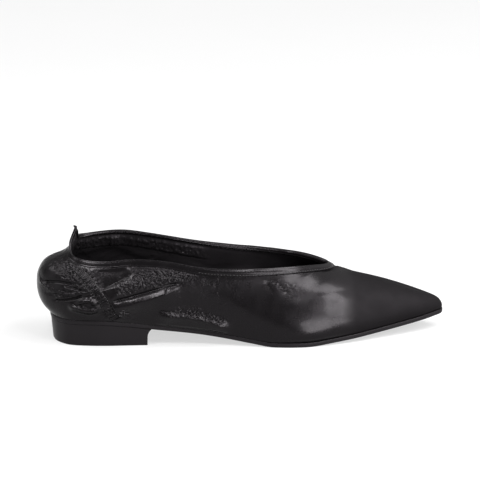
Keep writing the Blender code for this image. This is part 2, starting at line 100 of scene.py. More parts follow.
# The ridge's slope where the toe's sections fan out
TOE_SLOPE = 0.40

Row = namedtuple("Row", "follows base foot lateral medial centre rise")

# One row for each station. base and foot are shares of the sole's length: where the section stands on the
# centre line, and where its foot point lies. lateral and medial are the foot point's distance from the X
# axis, as shares of half the width that the row follows. centre is the centre line's shift, a share of
# TOE_SHIFT. rise is the ridge's height above the sole, a share of QUARTER_HEIGHT behind the throat and of
# VAMP_HEIGHT ahead of it.
LAST = [Row(*row) for row in (
    ("seat", 0.119, -0.007, 0.000, 0.000, 0.00, 1.03),
    ("seat", 0.119, -0.002, 0.385, 0.385, 0.00, 1.02),
    ("seat", 0.119, 0.017, 0.690, 0.690, 0.00, 1.01),
    ("seat", 0.119, 0.052, 0.900, 0.900, 0.00, 1.00),
    ("seat", 0.121, 0.121, 1.000, 1.000, 0.00, 1.00),
    ("seat", 0.177, 0.177, 1.010, 0.985, 0.00, 1.00),
    ("seat", 0.239, 0.239, 1.015, 0.915, 0.00, 0.99),
    ("waist", 0.304, 0.304, 1.125, 0.885, 0.05, 0.99),
    ("waist", 0.369, 0.369, 1.165, 0.830, 0.12, 0.98),
    ("waist", 0.434, 0.434, 1.245, 0.850, 0.22, 0.97),
    ("ball", 0.500, 0.500, 0.915, 0.640, 0.34, 0.94),
    ("ball", 0.561, 0.561, 0.990, 0.755, 0.48, 0.88),
    ("ball", 0.619, 0.619, 1.015, 0.865, 0.60, 0.795),
    ("ball", 0.672, 0.672, 0.972, 0.938, 0.70, 0.672),
    ("vamp", 0.722, 0.722, 0.875, 0.935, 0.78, 0.985),
    ("vamp", 0.771, 0.772, 0.757, 0.868, 0.84, 0.845),
    ("vamp", 0.818, 0.822, 0.605, 0.757, 0.89, 0.730),
    ("vamp", 0.860, 0.870, 0.460, 0.630, 0.93, 0.610),
    ("vamp", 0.896, 0.914, 0.325, 0.505, 0.96, 0.490),
    ("vamp", 0.925, 0.951, 0.198, 0.392, 0.98, 0.385),
    ("vamp", 0.945, 0.978, 0.075, 0.285, 0.99, 0.318),
    ("vamp", 0.956, 0.994, -0.005, 0.205, 1.00, 0.277),
    ("vamp", 0.960, 1.000, -0.105, 0.105, 1.00, 0.262),
)]
TIP = len(LAST) - 1

# The section's wall at some stations, between the feather line (1, 0) and the ridge (0, 1). Each point is the
# distance out from the centre line and the height, as shares of the foot point's and of the ridge's.
BACK_SHAPE = (0, ((1.16, 0.08), (1.26, 0.20), (1.255, 0.32), (1.15, 0.425), (0.89, 0.515),
                  (0.635, 0.595), (0.54, 0.72)))
TOE_SHAPES = (
    (16, ((1.03, 0.11), (1.02, 0.25), (0.95, 0.42), (0.82, 0.60), (0.65, 0.76), (0.45, 0.88),
          (0.23, 0.97))),
    (19, ((1.05, 0.14), (1.04, 0.30), (0.97, 0.48), (0.84, 0.655), (0.66, 0.80), (0.45, 0.91),
          (0.23, 0.975))),
    (TIP, ((1.02, 0.12), (1.00, 0.25), (0.95, 0.38), (0.87, 0.52), (0.75, 0.645), (0.55, 0.78),
           (0.28, 0.90))),
)
LATERAL_SHAPES = (
    BACK_SHAPE,
    (2, ((1.09, 0.08), (1.15, 0.19), (1.14, 0.31), (1.03, 0.425), (0.86, 0.51), (0.70, 0.575),
         (0.57, 0.70))),
    (4, ((1.08, 0.08), (1.16, 0.17), (1.18, 0.27), (1.12, 0.37), (0.98, 0.46), (0.81, 0.54),
         (0.68, 0.66))),
    (7, ((1.04, 0.08), (1.08, 0.19), (1.11, 0.31), (1.10, 0.42), (1.03, 0.53), (0.93, 0.62),
         (0.75, 0.79))),
    (10, ((1.03, 0.08), (1.03, 0.19), (1.00, 0.32), (0.94, 0.45), (0.87, 0.58), (0.79, 0.71),
          (0.60, 0.85))),
    (13, ((1.02, 0.09), (1.01, 0.21), (0.95, 0.36), (0.84, 0.53), (0.68, 0.70), (0.48, 0.84),
          (0.25, 0.955))),
) + TOE_SHAPES
MEDIAL_SHAPES = (
    BACK_SHAPE,
    (2, ((1.09, 0.08), (1.15, 0.19), (1.14, 0.31), (1.04, 0.425), (0.86, 0.52), (0.68, 0.60),
         (0.54, 0.71))),
    (4, ((1.08, 0.08), (1.16, 0.17), (1.18, 0.28), (1.12, 0.40), (1.00, 0.51), (0.87, 0.62),
         (0.72, 0.74))),
    (7, ((1.12, 0.08), (1.22, 0.19), (1.28, 0.32), (1.27, 0.44), (1.20, 0.55), (1.10, 0.66),
         (0.86, 0.82))),
    (10, ((1.13, 0.09), (1.20, 0.20), (1.22, 0.33), (1.20, 0.46), (1.15, 0.59), (1.08, 0.71),
          (0.78, 0.86))),
    (13, ((1.03, 0.09), (1.03, 0.21), (0.99, 0.36), (0.89, 0.53), (0.74, 0.70), (0.54, 0.84),
          (0.29, 0.955))),
) + TOE_SHAPES

# The topline: the share of the stations from the throat (0) to the centre back (1), and the lateral and the
# medial height there, as shares of the ridge's height above the sole at that station
TOPLINE = (
    (0.000, 1.000, 1.000), (0.063, 0.925, 0.917), (0.135, 0.832, 0.804), (0.207, 0.771, 0.761),
    (0.279, 0.700, 0.708), (0.351, 0.648, 0.686), (0.423, 0.634, 0.688), (0.495, 0.644, 0.699),
    (0.567, 0.638, 0.712), (0.640, 0.599, 0.706), (0.712, 0.566, 0.684), (0.784, 0.576, 0.675),
    (0.856, 0.592, 0.706), (0.928, 0.640, 0.780), (1.000, 0.750, 0.750),
)

# The sole's underside at shares of the sole's length. Its height is a share of the heel's height or of the
# toe spring, and between them it lies flat on the floor.
HEEL_RISE = ((-0.02, 1.00), (0.10, 1.00), (0.18, 0.90), (0.25, 0.75), (0.37, 0.50), (0.435, 0.33),
             (0.50, 0.14))
FLAT = ((0.560, 0), (0.635, 0))
TOE_RISE = ((0.71, 0.15), (0.785, 0.33), (0.86, 0.54), (0.94, 0.80), (1.02, 1.07))

# How far the sole reaches past the feather line at some stations, as a share of its thickness: it is close
# at the waist.
SOLE_REACH = ((0, 0.05), (4, 0.05), (6, -0.05), (8, -0.20), (10, 0.00), (12, 0.20), (16, 0.20), (TIP, 0.15))

# A millimetre in metres
MM = 0.001

# How finely the leather is drawn: the step between stations behind FOLDS_END, up to the throat and on to the
# tip, and the count of rows up the wall
FOLDS_END = 0.135
LEATHER_STEPS = (0.00050, 0.0009, 0.0012)
LEATHER_ROWS = 104
LINING_STEPS = (0.0008, 0.0013, 0.0024)
LINING_ROWS = 70

# The ruched bands: half their width, the pitches of their gathers and of the fine rungs on them, the places
# of their centre lines from the topline down to the sole, and their noise's seeds, the lateral band first
BAND_HALF = 2.9
BAND_GATHER = 1.6
BAND_RUNG = 1.15
BANDS = (
    ((21, 38), (25, 36.3), (31.5, 33.5), (38.5, 29.5), (43.5, 24.8), (47, 20), (50, 14.8), (53.2, 8.7),
     (57.3, 2)),
    ((-17, 46), (-22, 42.5), (-29, 37.5), (-37, 31.5), (-43, 25), (-47, 20), (-50, 14.8), (-53.2, 8.7),
     (-57.3, 2)),
)
BAND_SEEDS = (8, 6)

# The elastic casing inside the topline, in millimetres: how wide it is, how far round the foot it reaches,
# and where its flat tab lies
CASING_WIDTH = 11.5
CASING_END = 116
CASING_TAB = -60.5

# Towards the tip the leather turns matt between these distances round the foot
MATT_TOE = (209, 222)

# The point that the topline rises to at the centre back: its height, half its width in millimetres, and how
# far it leans forward, and how much the topline also rises beside it on the medial side
BACK_POINT = 0.0037
BACK_POINT_HALF = 8.0
BACK_POINT_LEAN = 0.0026
MEDIAL_RISE = 0.0014

# Folds are placed by two distances in millimetres: round the foot along the feather line from the centre back
# (lateral positive, medial negative), and up from the feather line.
Crease = namedtuple("Crease", "height width skew path")
Puff = namedtuple("Puff", "height round up long tall tilt")
Crumple = namedtuple("Crumple", "height round up long tall tilt grain")

# A ridge wider than this is peaked like a roof and runs out slowly
BROAD_RIDGE = 4.0

# A ridge has a positive height and a trough a negative one. skew makes the upper flank wider (positive) or
# narrower (negative) than the lower one.
CREASES = [Crease(*row) for row in (
    # The puffs above the counter
    (-1.6, 0.85, 0.0, ((9, 23.6), (14, 24.6), (20.5, 26), (27, 26), (35, 25.6))),
    (-1.5, 0.85, 0.0, ((25, 24.3), (30, 23.6), (35, 22.5), (40, 21.5))),
    (-1.0, 0.75, 0.0, ((23, 21.6), (30.5, 20.4), (36, 21.4))),
    (-1.0, 0.7, 0.0, ((12, 16.6), (18, 17), (23, 18), (28.5, 17.4), (34, 18.8))),
    (0.8, 1.2, -0.3, ((6, 24.5), (12, 21.8), (18, 20.4), (22, 19.8))),
    (-1.7, 0.85, 0.3, ((18, 12.8), (24, 13.6), (29, 14.8), (33, 16), (36, 17.5), (40, 18.5))),
    # The puff behind the band, with a lit rim above and below
    (1.8, 1.5, 0.0, ((33, 12.4), (36.8, 14.6), (39.6, 15.4), (42.6, 15.4), (45, 13.6), (47.2, 11.2))),
    (2.6, 2.2, -0.27, ((28.5, 11.4), (33, 10.8), (37, 9.8), (41, 8.8), (45, 9.6), (48, 11.4))),
    # The quarter, from the band towards the waist
    (3.4, 5.2, -0.4, ((48.5, 9.6), (54, 11.2), (60, 12.9), (64.5, 14), (71.5, 16.7), (78, 18.9),
                      (84.5, 21.5), (90, 24), (95, 26), (101, 28))),
    (-1.7, 0.9, 0.0, ((55, 14.8), (59, 16.5), (62.6, 17.6), (68, 19.4), (74.6, 22), (79.3, 23.8),
                      (85, 26.2), (90, 28.4), (96, 30.4), (102, 32.2))),
    (0.7, 0.9, -0.3, ((80.5, 25.4), (84.5, 27), (91.3, 28.8), (98, 30.2))),
    (0.5, 2.0, -0.2, ((48.6, 15.0), (51.6, 16.5), (54.9, 18.1), (59.6, 21.2), (63, 23))),
    (0.4, 2.2, -0.2, ((55.5, 22.4), (61.5, 24.4), (67, 27.8), (72, 28.9), (76, 31))),
    (-1.8, 5.8, 0.75, ((46, 21.0), (48.5, 23), (53, 25.4), (57, 27.6), (61.3, 29.8), (66, 32.4),
                       (70, 34.6))),
    (0.8, 0.9, -0.3, ((55.5, 11.6), (61.2, 10.9), (67, 10.6))),
    (-0.8, 0.7, 0.0, ((56, 10.2), (62, 9.6), (68, 9.4))),
    (0.8, 0.9, -0.3, ((57, 8.6), (62.6, 8), (68.5, 7.6))),
    (-0.7, 0.7, 0.0, ((58, 7), (63, 6.6), (68, 6.4))),
    (0.7, 0.9, -0.3, ((59, 5.6), (64.5, 5.4))),
    (-0.7, 0.8, 0.0, ((84, 10.6), (92, 12), (98, 11.4), (106, 13))),
    (3.6, 4.8, -0.35, ((82, 8), (94, 9), (106, 9.2), (120, 7.8), (130, 5.8), (137, 4.6))),
    # Under the binding
    (-0.25, 1.6, 0.0, ((157, 40), (161, 35.5), (164, 31.5))),
    (-0.25, 1.6, 0.0, ((166, 39.5), (169, 35), (172, 31.5))),
    # The inner side, which isn't seen
    (-1.5, 0.85, 0.0, ((-11, 25.5), (-19, 25), (-27, 26), (-34, 28))),
    (-1.4, 0.85, 0.0, ((-25, 23.5), (-32, 22), (-39, 22.5))),
    (-1.0, 0.75, 0.0, ((-8, 19.5), (-16, 18.8), (-24, 17), (-30, 17.8))),
    (-1.5, 0.9, 0.3, ((-12, 13), (-21, 12.4), (-31, 13.2), (-41, 16.5))),
    (1.3, 2.2, -0.45, ((-28, 9), (-35, 8), (-42, 9))),
    (-0.8, 0.8, 0.0, ((-29, 19.4), (-36, 20), (-43, 22))),
    (2.3, 4.8, -0.35, ((-55, 12.6), (-65, 15.6), (-76, 19.6), (-86, 24), (-96, 27.4))),
    (-1.6, 0.9, 0.0, ((-52, 16), (-62, 19.2), (-72, 23), (-82, 27), (-91, 30.5))),
    (1.0, 1.3, -0.3, ((-54, 23), (-62, 27), (-71, 31))),
    (-1.1, 1.9, 0.0, ((-47, 25.5), (-54, 30), (-63, 34.5))),
    (0.8, 0.9, -0.3, ((-57, 11), (-63, 9.5), (-70, 8.5))),
    (-0.7, 0.7, 0.0, ((-57, 8.2), (-63, 7), (-70, 6.4))),
    (1.2, 4.6, -0.1, ((-92, 4), (-106, 4.4), (-120, 4.6), (-136, 4.2))),
    (-0.5, 2.6, 0.0, ((-100, 22), (-114, 20), (-128, 17.5))),
)]

# Folds whose leather is drawn tight, so that no fine wrinkles cross them
TIGHT_FOLDS = (
    ((53, 11.0), (60, 12.9), (71.5, 16.7), (84.5, 21.5), (97, 26.6)),
    ((-55, 12.6), (-76, 19.6), (-96, 27.4)),
)

# Broad swellings and hollows: half length, half height and tilt in degrees
PUFFS = [Puff(*row) for row in (
    (0.8, 14, 30, 9, 3.4, -10),
    (0.5, 96, 42, 46, 9, 0),
    (1.6, 0, 31, 22, 8, 0),
    (0.7, 40, 11.4, 8.5, 4.0, 0),
    (2.0, 206, 30.5, 15, 8, 0),
    (-0.7, 180, 35, 11, 8, 0),
    (0.7, 190, 3, 22, 5.5, 0),
    (0.9, -14, 30, 9, 3.4, -10),
    (0.8, -37, 9.5, 9, 3.8, 0),
)]

# Patches of fine wrinkles: grain is the wrinkles' length and width, and tilt their direction in degrees
CRUMPLES = [Crumple(*row) for row in (
    (0.60, 12, 34.6, 9, 2.4, -18, (2.6, 1.5)),
    (0.80, 25, 31, 8, 3.4, -22, (2.4, 1.5)),
    (0.60, 36, 30, 7, 5, -40, (2.4, 1.4)),
    (0.60, 13, 21.2, 8, 2.4, -18, (2.6, 1.5)),
    (0.70, 27, 19, 10, 3.4, 4, (2.6, 1.5)),
    (0.60, 36, 23, 7, 4.0, 0, (2.6, 1.4)),
    (0.50, 40, 12, 7, 3, 0, (2.4, 1.4)),
    (0.55, 66, 26, 10, 4.6, 24, (1.8, 1.1)),
    (0.60, 80, 31.5, 11, 5.4, 14, (1.6, 1.1)),
    (0.60, 96, 35.5, 13, 4.0, 4, (1.6, 1.1)),
    (0.10, 126, 33, 12, 3.0, 0, (2.6, 1.4)),
    (0.55, 63, 8, 7, 5, -10, (3.2, 1.3)),
    (0.30, 92, 10.5, 9, 2.0, 0, (2.6, 1.3)),
    (0.40, 112, 11, 20, 3.8, -7, (1.6, 1.1)),
    (0.25, 111, 16.2, 6, 1.6, 0, (2.4, 1.3)),
    (0.30, 97, 40.5, 12, 1.8, 2, (2.2, 1.2)),
    (0.18, 168, 37, 13, 3.6, -20, (2.4, 1.3)),
    (0.80, -16, 32.5, 9, 3.4, -20, (2.4, 1.5)),
    (0.65, -30, 29, 8, 4.0, -40, (2.4, 1.5)),
    (0.65, -14, 19, 10, 3.4, -20, (2.6, 1.5)),
    (0.60, -35, 20, 9, 3.4, 4, (2.6, 1.4)),
    (0.70, -66, 26, 12, 4.6, 22, (2.2, 1.3)),
    (0.65, -92, 34, 18, 4.4, 6, (2.0, 1.3)),
    (0.50, -62, 9, 6, 5, -15, (3.2, 1.3)),
    (0.45, -112, 9.5, 18, 3.6, 0, (2.2, 1.3)),
    (0.30, -166, 38, 12, 3.6, -20, (2.4, 1.3)),
)]

# Angles from the shoe's middle are in degrees: azimuth (0 is towards -Y, 90 towards the toe) and elevation
CAMERA_ANGLE = (-4.0, 17.06)
CAMERA_TARGET = (0.09395, 0.0, 0.0638)
CAMERA_DISTANCE = 4.0
FRAME_WIDTH = 0.3192
SENSOR_WIDTH = 36
SHOE_MIDDLE = (0.10, 0.0, 0.03)
VAMP_SIDE = (0.165, -0.03, 0.02)
PURPLE_GREY = (1.0, 0.93, 0.99, 1.0)

Light = namedtuple("Light", "name target azimuth elevation distance width height roll radiance")
LIGHTS = [Light(*row) for row in (
    ("front_low", VAMP_SIDE, 27, 14, 1.2, 0.76, 0.30, 30, 14.0),
    ("front_side", VAMP_SIDE, 54, 36, 1.2, 0.44, 0.46, 0, 14.0),
    ("front_top", VAMP_SIDE, 76, 60, 1.3, 0.62, 0.58, 0, 12.0),
    ("back_left", SHOE_MIDDLE, -105, 50, 1.3, 0.6, 0.5, 0, 5.0),
    ("top_key", SHOE_MIDDLE, -36, 55, 1.4, 0.34, 0.36, 0, 26.0),
    ("side_glint", SHOE_MIDDLE, 21, 52, 1.3, 0.22, 0.30, 0, 22.0),
)]

# How bright the room is, and its darker parts: azimuth, elevation and how much of the brightness is left
ROOM = 1.75
DARK_SIDES = ((-5, 22, 0.15), (-150, 8, 0.2), (135, 45, 0.7))
VIEW_GAMMA = 0.88


def spline(knots, values, at):
    """A natural cubic spline through the values at the knots, read at the given places."""
    knots = np.asarray(knots, float)
    values = np.asarray(values, float)
    flat = values.reshape(len(knots), -1)
    gap = np.diff(knots)
    slope = np.diff(flat, axis=0) / gap[:, None]
    system = np.eye(len(knots))
    right = np.zeros_like(flat)
    for i in range(1, len(knots) - 1):
        system[i, i - 1 : i + 2] = gap[i - 1], 2 * (gap[i - 1] + gap[i]), gap[i]
        right[i] = 6 * (slope[i] - slope[i - 1])
    bend = np.linalg.solve(system, right)
    at = np.atleast_1d(np.asarray(at, float))
    i = np.clip(np.searchsorted(knots, at) - 1, 0, len(gap) - 1)
    h = gap[i][:, None]
    a = (knots[i + 1] - at)[:, None] / h
    b = 1 - a
    found = a * flat[i] + b * flat[i + 1] + ((a**3 - a) * bend[i] + (b**3 - b) * bend[i + 1]) * h**2 / 6
    return found.reshape((len(at),) + values.shape[1:])


def even_spline(knots, values, at, beyond=None):
    """A spline that is level at both ends, because the values are mirrored past them. Where beyond is given,
    it runs on into the shoe's other side, whose values those are."""
    knots = np.asarray(knots, float)
    values = np.asarray(values, float)
    beyond = values if beyond is None else beyond
    knots = np.concatenate([2 * knots[0] - knots[:0:-1], knots, 2 * knots[-1] - knots[-2::-1]])
    return spline(knots, np.concatenate([beyond[:0:-1], values, beyond[-2::-1]]), at)


def level_curve(knots, values, at):
    """A smooth curve that never overshoots its points, so that a flat stretch stays flat."""
    knots = np.asarray(knots, float)
    values = np.asarray(values, float)
    gap = np.diff(knots)
    slope = np.diff(values) / gap
    tangent = np.zeros_like(values)
    for i in range(1, len(knots) - 1):
        if slope[i - 1] * slope[i] > 0:
            w = (2 * gap[i] + gap[i - 1], gap[i] + 2 * gap[i - 1])
            tangent[i] = sum(w) / (w[0] / slope[i - 1] + w[1] / slope[i])
    tangent[0], tangent[-1] = slope[0], slope[-1]
    i = np.clip(np.searchsorted(knots, at) - 1, 0, len(gap) - 1)
    h = gap[i]
    t = (at - knots[i]) / h
    return (
        values[i] * (1 + 2 * t) * (1 - t) ** 2
        + values[i + 1] * t**2 * (3 - 2 * t)
        + tangent[i] * h * t * (1 - t) ** 2
        - tangent[i + 1] * h * t**2 * (1 - t)
    )


def way_along(line):
    """How far along a line each of its points lies."""
    return np.concatenate([[0], np.cumsum(np.linalg.norm(np.diff(line, axis=0), axis=1))])


def unit(vectors):
    """A vector, or each row of an array of them, at length 1."""
    return vectors / np.linalg.norm(vectors, axis=-1, keepdims=True)


def underside(x):
    """Height of the sole's underside at a distance from the back of the sole."""
    rows = [(place * SOLE_LENGTH, share * height)
            for part, height in ((HEEL_RISE, HEEL_HEIGHT), (FLAT, 0), (TOE_RISE, TOE_SPRING))
            for place, share in part]
    return level_curve(*zip(*rows), np.asarray(x, float))


def last_columns():
    """The last's rows in metres: base x, foot x, lateral y, medial y, centre y and rise."""
    follows = {"seat": (SEAT_WIDTH, QUARTER_HEIGHT), "waist": (WAIST_WIDTH, QUARTER_HEIGHT),
               "ball": (BALL_WIDTH, QUARTER_HEIGHT), "vamp": (BALL_WIDTH, VAMP_HEIGHT)}
    columns = []
    for row in LAST:
        width, height = follows[row.follows]
        columns.append((row.base * SOLE_LENGTH, row.foot * SOLE_LENGTH, -row.lateral * (width / 2),
                        row.medial * (width / 2), row.centre * TOE_SHIFT, row.rise * height))
    return np.array(columns)


COLUMNS = last_columns()
STATIONS = np.arange(len(LAST))
FINE = np.linspace(0, TIP, 3000)
LATERAL, MEDIAL = 0, 1
ORIGIN_X = HEEL_BLOCK_LENGTH / 2


def foot_point(side, u):
    """The points on the feather line at stations u: x and y."""
    x = even_spline(STATIONS, COLUMNS[:, 1], u)
    y = even_spline(STATIONS, COLUMNS[:, 2 + side], u, COLUMNS[:, 3 - side])
    return np.stack([x, y], axis=-1)


def base_point(u):
    """The points on the last's centre line at stations u, x and y, and the ridge's heights above the sole."""
    x, y, rise = even_spline(STATIONS, COLUMNS[:, [0, 4, 5]], u).T
    return np.stack([x, y], axis=-1), rise


def station_at(place, column, start):
    """The station past start at which a column of the last reaches a distance from the back of the sole."""
    fine = np.linspace(start, TIP, 1500)
    return np.interp(place, even_spline(STATIONS, COLUMNS[:, column], fine), fine)


THROAT_X = SOLE_LENGTH - VAMP_LENGTH
THROAT = float(station_at(THROAT_X, 0, 4))


def topline_share(side, u):
    """The topline's height at station u, as a share of the ridge's: 1 from the throat forward."""
    outer = [(way - 1, lateral) for way, lateral, _ in TOPLINE]
    inner = [(1 - way, medial) for way, _, medial in TOPLINE[-2::-1]]
    knots, heights = np.array(outer + inner).T
    from_back = u / THROAT
    return float(spline(knots, heights, -from_back if side == LATERAL else from_back)[0])


def wall_shape(side, u):
    """The section's wall at station u, as shares: an array of points (out, up)."""
    stations, walls = zip(*(LATERAL_SHAPES if side == LATERAL else MEDIAL_SHAPES))
    return even_spline(stations, [((1, 0), *wall, (0, 1)) for wall in walls], u)[0]


def wall_curve(side, u, steps, reach, rise, tilt):
    """The wall's curve (out, up) in metres, cut at the topline, as steps + 1 evenly spaced points. tilt is
    the slope with which it leaves the ridge."""
    shape = wall_shape(side, u) * (reach, rise)
    # The mirrored points past the ridge make the wall smooth across the centre line.
    beyond = shape[-2::-1] * (-1, 1) + np.outer(shape[-2::-1, 0], (0, 2 * tilt))
    mirrored = np.concatenate([shape, beyond])
    way = way_along(mirrored)
    curve = spline(way, mirrored, np.linspace(0, way[len(shape) - 1], 400))
    curve[-1] = 0, rise
    if u < THROAT:
        height = topline_share(side, u) * rise
        last = len(curve) - 2 - int(np.argmax(curve[-2::-1, 1] < height))
        share = (height - curve[last, 1]) / (curve[last + 1, 1] - curve[last, 1])
        end = curve[last] + share * (curve[last + 1] - curve[last])
        curve = np.concatenate([curve[: last + 1], [end]])
    length = way_along(curve)
    even = np.linspace(0, length[-1], steps + 1)
    return [np.interp(even, length, column) for column in curve.T]


def section(side, u, steps):
    """The outer face of the upper at station u: two points of the lasting margin, turned in under the last,
    then the wall from the feather line to the topline or the ridge."""
    foot = foot_point(side, u)[0]
    base, rise = base_point(u)
    base, rise = base[0], rise[0]
    reach = np.linalg.norm(foot - base)
    heading = (foot - base) / reach
    out, up = wall_curve(side, u, steps, reach, rise, TOE_SLOPE * max(0, heading[0]))
    chamfer = np.interp(u, (7, 12), (HEEL_CHAMFER, TOE_CHAMFER))
    up = up + chamfer * np.linspace(1, 0, len(up))
    margin = min(LASTING_MARGIN, reach / 2)
    out = np.concatenate([[reach - margin, reach - chamfer], out])
    up = np.concatenate([[0, 0], up])
    plan = base + out[:, None] * heading
    seat_x = np.where(np.arange(len(out)) < 2, plan[:, 0], foot[0])
    seat = underside(seat_x) + SOLE_THICKNESS + SEAM
    return np.column_stack([plan[:, 0] - ORIGIN_X, plan[:, 1], seat + up])


def feather_way(side, u):
    """How far stations u lie round the foot from the centre back, along the feather line."""
    return np.interp(u, FINE, way_along(foot_point(side, FINE)))


def fine_stations(rear, middle, front):
    """Stations at even steps round the foot, and ever closer to the throat, where the topline turns."""
    turn = 0.012
    way = feather_way(LATERAL, FINE)
    throat = np.interp(THROAT, FINE, way)
    places = np.concatenate([
        np.linspace(0, FOLDS_END, round(FOLDS_END / rear), endpoint=False),
        np.linspace(FOLDS_END, throat - turn, round((throat - turn - FOLDS_END) / middle), endpoint=False),
        throat - turn * np.linspace(1, 0, 16, endpoint=False) ** 2,
        np.linspace(throat, way[-1], round((way[-1] - throat) / front)),
    ])
    stations = np.interp(places, way, FINE)
    stations[np.argmin(abs(stations - THROAT))] = THROAT
    return stations


class Leather:
    """The upper's outer face before it folds, with each point's place round the foot and up the wall."""

    def __init__(self, steps, rows):
        self.stations = fine_stations(*steps)
        rows += 3
        self.grid = np.zeros((2, len(self.stations), rows), int)
        self.ways = np.array([feather_way(side, self.stations) for side in (LATERAL, MEDIAL)])
        points, index, places = [], {}, []
        for side in (LATERAL, MEDIAL):
            for s, u in enumerate(self.stations):
                column = section(side, u, rows - 3)
                way = self.ways[side, s] * (1 if side == LATERAL else -1)
                for r, point in enumerate(column):
                    key = tuple(np.round(point, 7))
                    if key not in index:
                        index[key] = len(points)
                        points.append(point)
                        places.append((way, point[2] - column[2][2]))
                    self.grid[side, s, r] = index[key]
        self.points = np.array(points)
        self.round, self.up = np.array(places).T / MM
        self.faces = self.quads(rows)
        self.mesh = bpy.data.meshes.new("leather")
        self.mesh.from_pydata(points, [], self.faces)
        self.normals = vertex_normals(self.mesh)
        self.rim = self.rim_loop()
        self.drop = distance_to(self.points, self.points[self.rim]) / MM

    def quads(self, rows):
        """The faces between the points, without the corners that fall together at the ends."""
        faces = []
        for side in (LATERAL, MEDIAL):
            for s in range(len(self.stations) - 1):
                near, far = self.grid[side, s], self.grid[side, s + 1]
                for r in range(rows - 1):
                    corners = tuple(dict.fromkeys((near[r], far[r], far[r + 1], near[r + 1])))
                    if len(corners) > 2:
                        faces.append(corners if side == LATERAL else corners[::-1])
        return faces

    def rim_loop(self):
        """The topline's points, from the centre back along the lateral side and back along the medial one."""
        count = int(np.sum(self.stations <= THROAT + 1e-6))
        return np.concatenate([self.grid[LATERAL, :count, -1], self.grid[MEDIAL, 1 : count - 1, -1][::-1]])

    def spot(self, way, up):
        """The point of the unfolded leather at a distance round the foot and a height, in millimetres."""
        side = LATERAL if way >= 0 else MEDIAL
        place = np.interp(abs(way) * MM, self.ways[side], np.arange(len(self.stations)))
        first = min(int(place), len(self.stations) - 2)
        ends = []
        for s in (first, first + 1):
            column = self.points[self.grid[side, s, 2:]]
            heights = (column[:, 2] - column[0, 2]) / MM
            ends.append([np.interp(up, heights, column[:, axis]) for axis in range(3)])
        return np.array(ends[0]) + (place - first) * (np.array(ends[1]) - np.array(ends[0]))


def vertex_normals(mesh):
    found = np.zeros(len(mesh.vertices) * 3, np.float32)
    mesh.vertex_normals.foreach_get("vector", found)
    return found.reshape(-1, 3).astype(float)


def distance_to(points, targets):
    """Each point's distance from the nearest of the targets."""
    tree = KDTree(len(targets))
    for i, target in enumerate(targets):
        tree.insert(target, i)
    tree.balance()
    return np.array([tree.find(point)[2] for point in points])


def smooth(x, low, high):
    """0 below low, 1 above high, and an even rise between them."""
    t = np.clip((x - low) / (high - low), 0, 1)
    return t * t * (3 - 2 * t)


def fine_path(path):
    """A smooth line through the places of a path, as places 0.8 mm apart, in millimetres."""
    path = np.array(path, float)
    way = way_along(path)
    return spline(way, path, np.linspace(0, way[-1], max(4, int(way[-1] / 0.8))))


def near_path(leather, path, reach):
    """For the leather's points within reach of a path, in millimetres: their indices, how far they are above
    the path (below is negative), how far along it, and the path's length."""
    places = fine_path(path)
    line = np.array([leather.spot(*place) for place in places])
    margin = reach * MM
    inside = (leather.points > line.min(0) - margin) & (leather.points < line.max(0) + margin)
    chosen = np.flatnonzero(np.all(inside, axis=1))
    points = leather.points[chosen]
    gap = np.full(len(chosen), 1e9)
    nearest = np.zeros(len(chosen), int)
    for i, point in enumerate(line):
        away = np.linalg.norm(points - point, axis=1)
        closer = away < gap
        gap[closer] = away[closer]
        nearest[closer] = i
    along = unit(np.gradient(places, axis=0))
    upward = np.where(along[:, :1] < 0, -1, 1) * np.column_stack([-along[:, 1], along[:, 0]])
    offset = np.column_stack([leather.round[chosen], leather.up[chosen]]) - places[nearest]
    side = np.sign(np.sum(offset * upward[nearest], axis=1))
    # The distance square to the line: the part of the gap that runs along it is taken out.
    ahead = unit(np.gradient(line, axis=0))
    slip = np.sum((points - line[nearest]) * ahead[nearest], axis=1)
    across = np.sqrt(np.maximum(gap**2 - slip**2, 0))
    length = way_along(line)
    way = (length[nearest] + slip) / MM
    kept = (across < margin) & (way > -0.5) & (way < length[-1] / MM + 0.5)
    return chosen[kept], (side * across)[kept] / MM, way[kept], length[-1] / MM


def off_paths(leather, paths, reach, low, high, middle=0):
    """0 along the paths and 1 away from them. It rises from low to high millimetres off a line that runs the
    given distance above each path."""
    amount = np.ones(len(leather.points))
    for path in paths:
        chosen, across, _, _ = near_path(leather, path, reach)
        amount[chosen] = smooth(abs(across - middle), low, high)
    return amount


def waves(x, y, seed):
    """Smooth noise at the places (x, y), from about -1 to 1."""
    return np.array([noise.noise(Vector((a, b, seed))) for a, b in zip(x, y)])


def crease_height(leather, crease):
    """A ridge or trough: rounded across its path, or peaked where it is broad, and fading at both ends."""
    height = np.zeros(len(leather.points))
    chosen, across, way, length = near_path(leather, crease.path, 4 * crease.width)
    width = crease.width * np.where(across > 0, 1 + crease.skew, 1 - crease.skew)
    broad = crease.width > BROAD_RIDGE
    sharpness = 1.3 if broad else 2 if crease.height > 0 else 1.5
    ends = min(12 if broad else 5, 0.3 * length)
    taper = smooth(way, -0.5, ends) * smooth(length - way, -0.5, ends)
    height[chosen] = crease.height * np.exp(-((abs(across) / width) ** sharpness)) * taper
    return height


def turned(leather, spot):
    """The leather's places relative to a puff or crumple, along and across its direction."""
    angle = math.radians(spot.tilt) * (1 if spot.round >= 0 else -1)
    right, above = leather.round - spot.round, leather.up - spot.up
    along = right * math.cos(angle) + above * math.sin(angle)
    return along, above * math.cos(angle) - right * math.sin(angle)


def patch(leather, spot):
    """1 at the middle of a puff or crumple, fading to 0 outside it."""
    along, across = turned(leather, spot)
    return np.exp(-(((along / spot.long) ** 2 + (across / spot.tall) ** 2) ** 1.3))


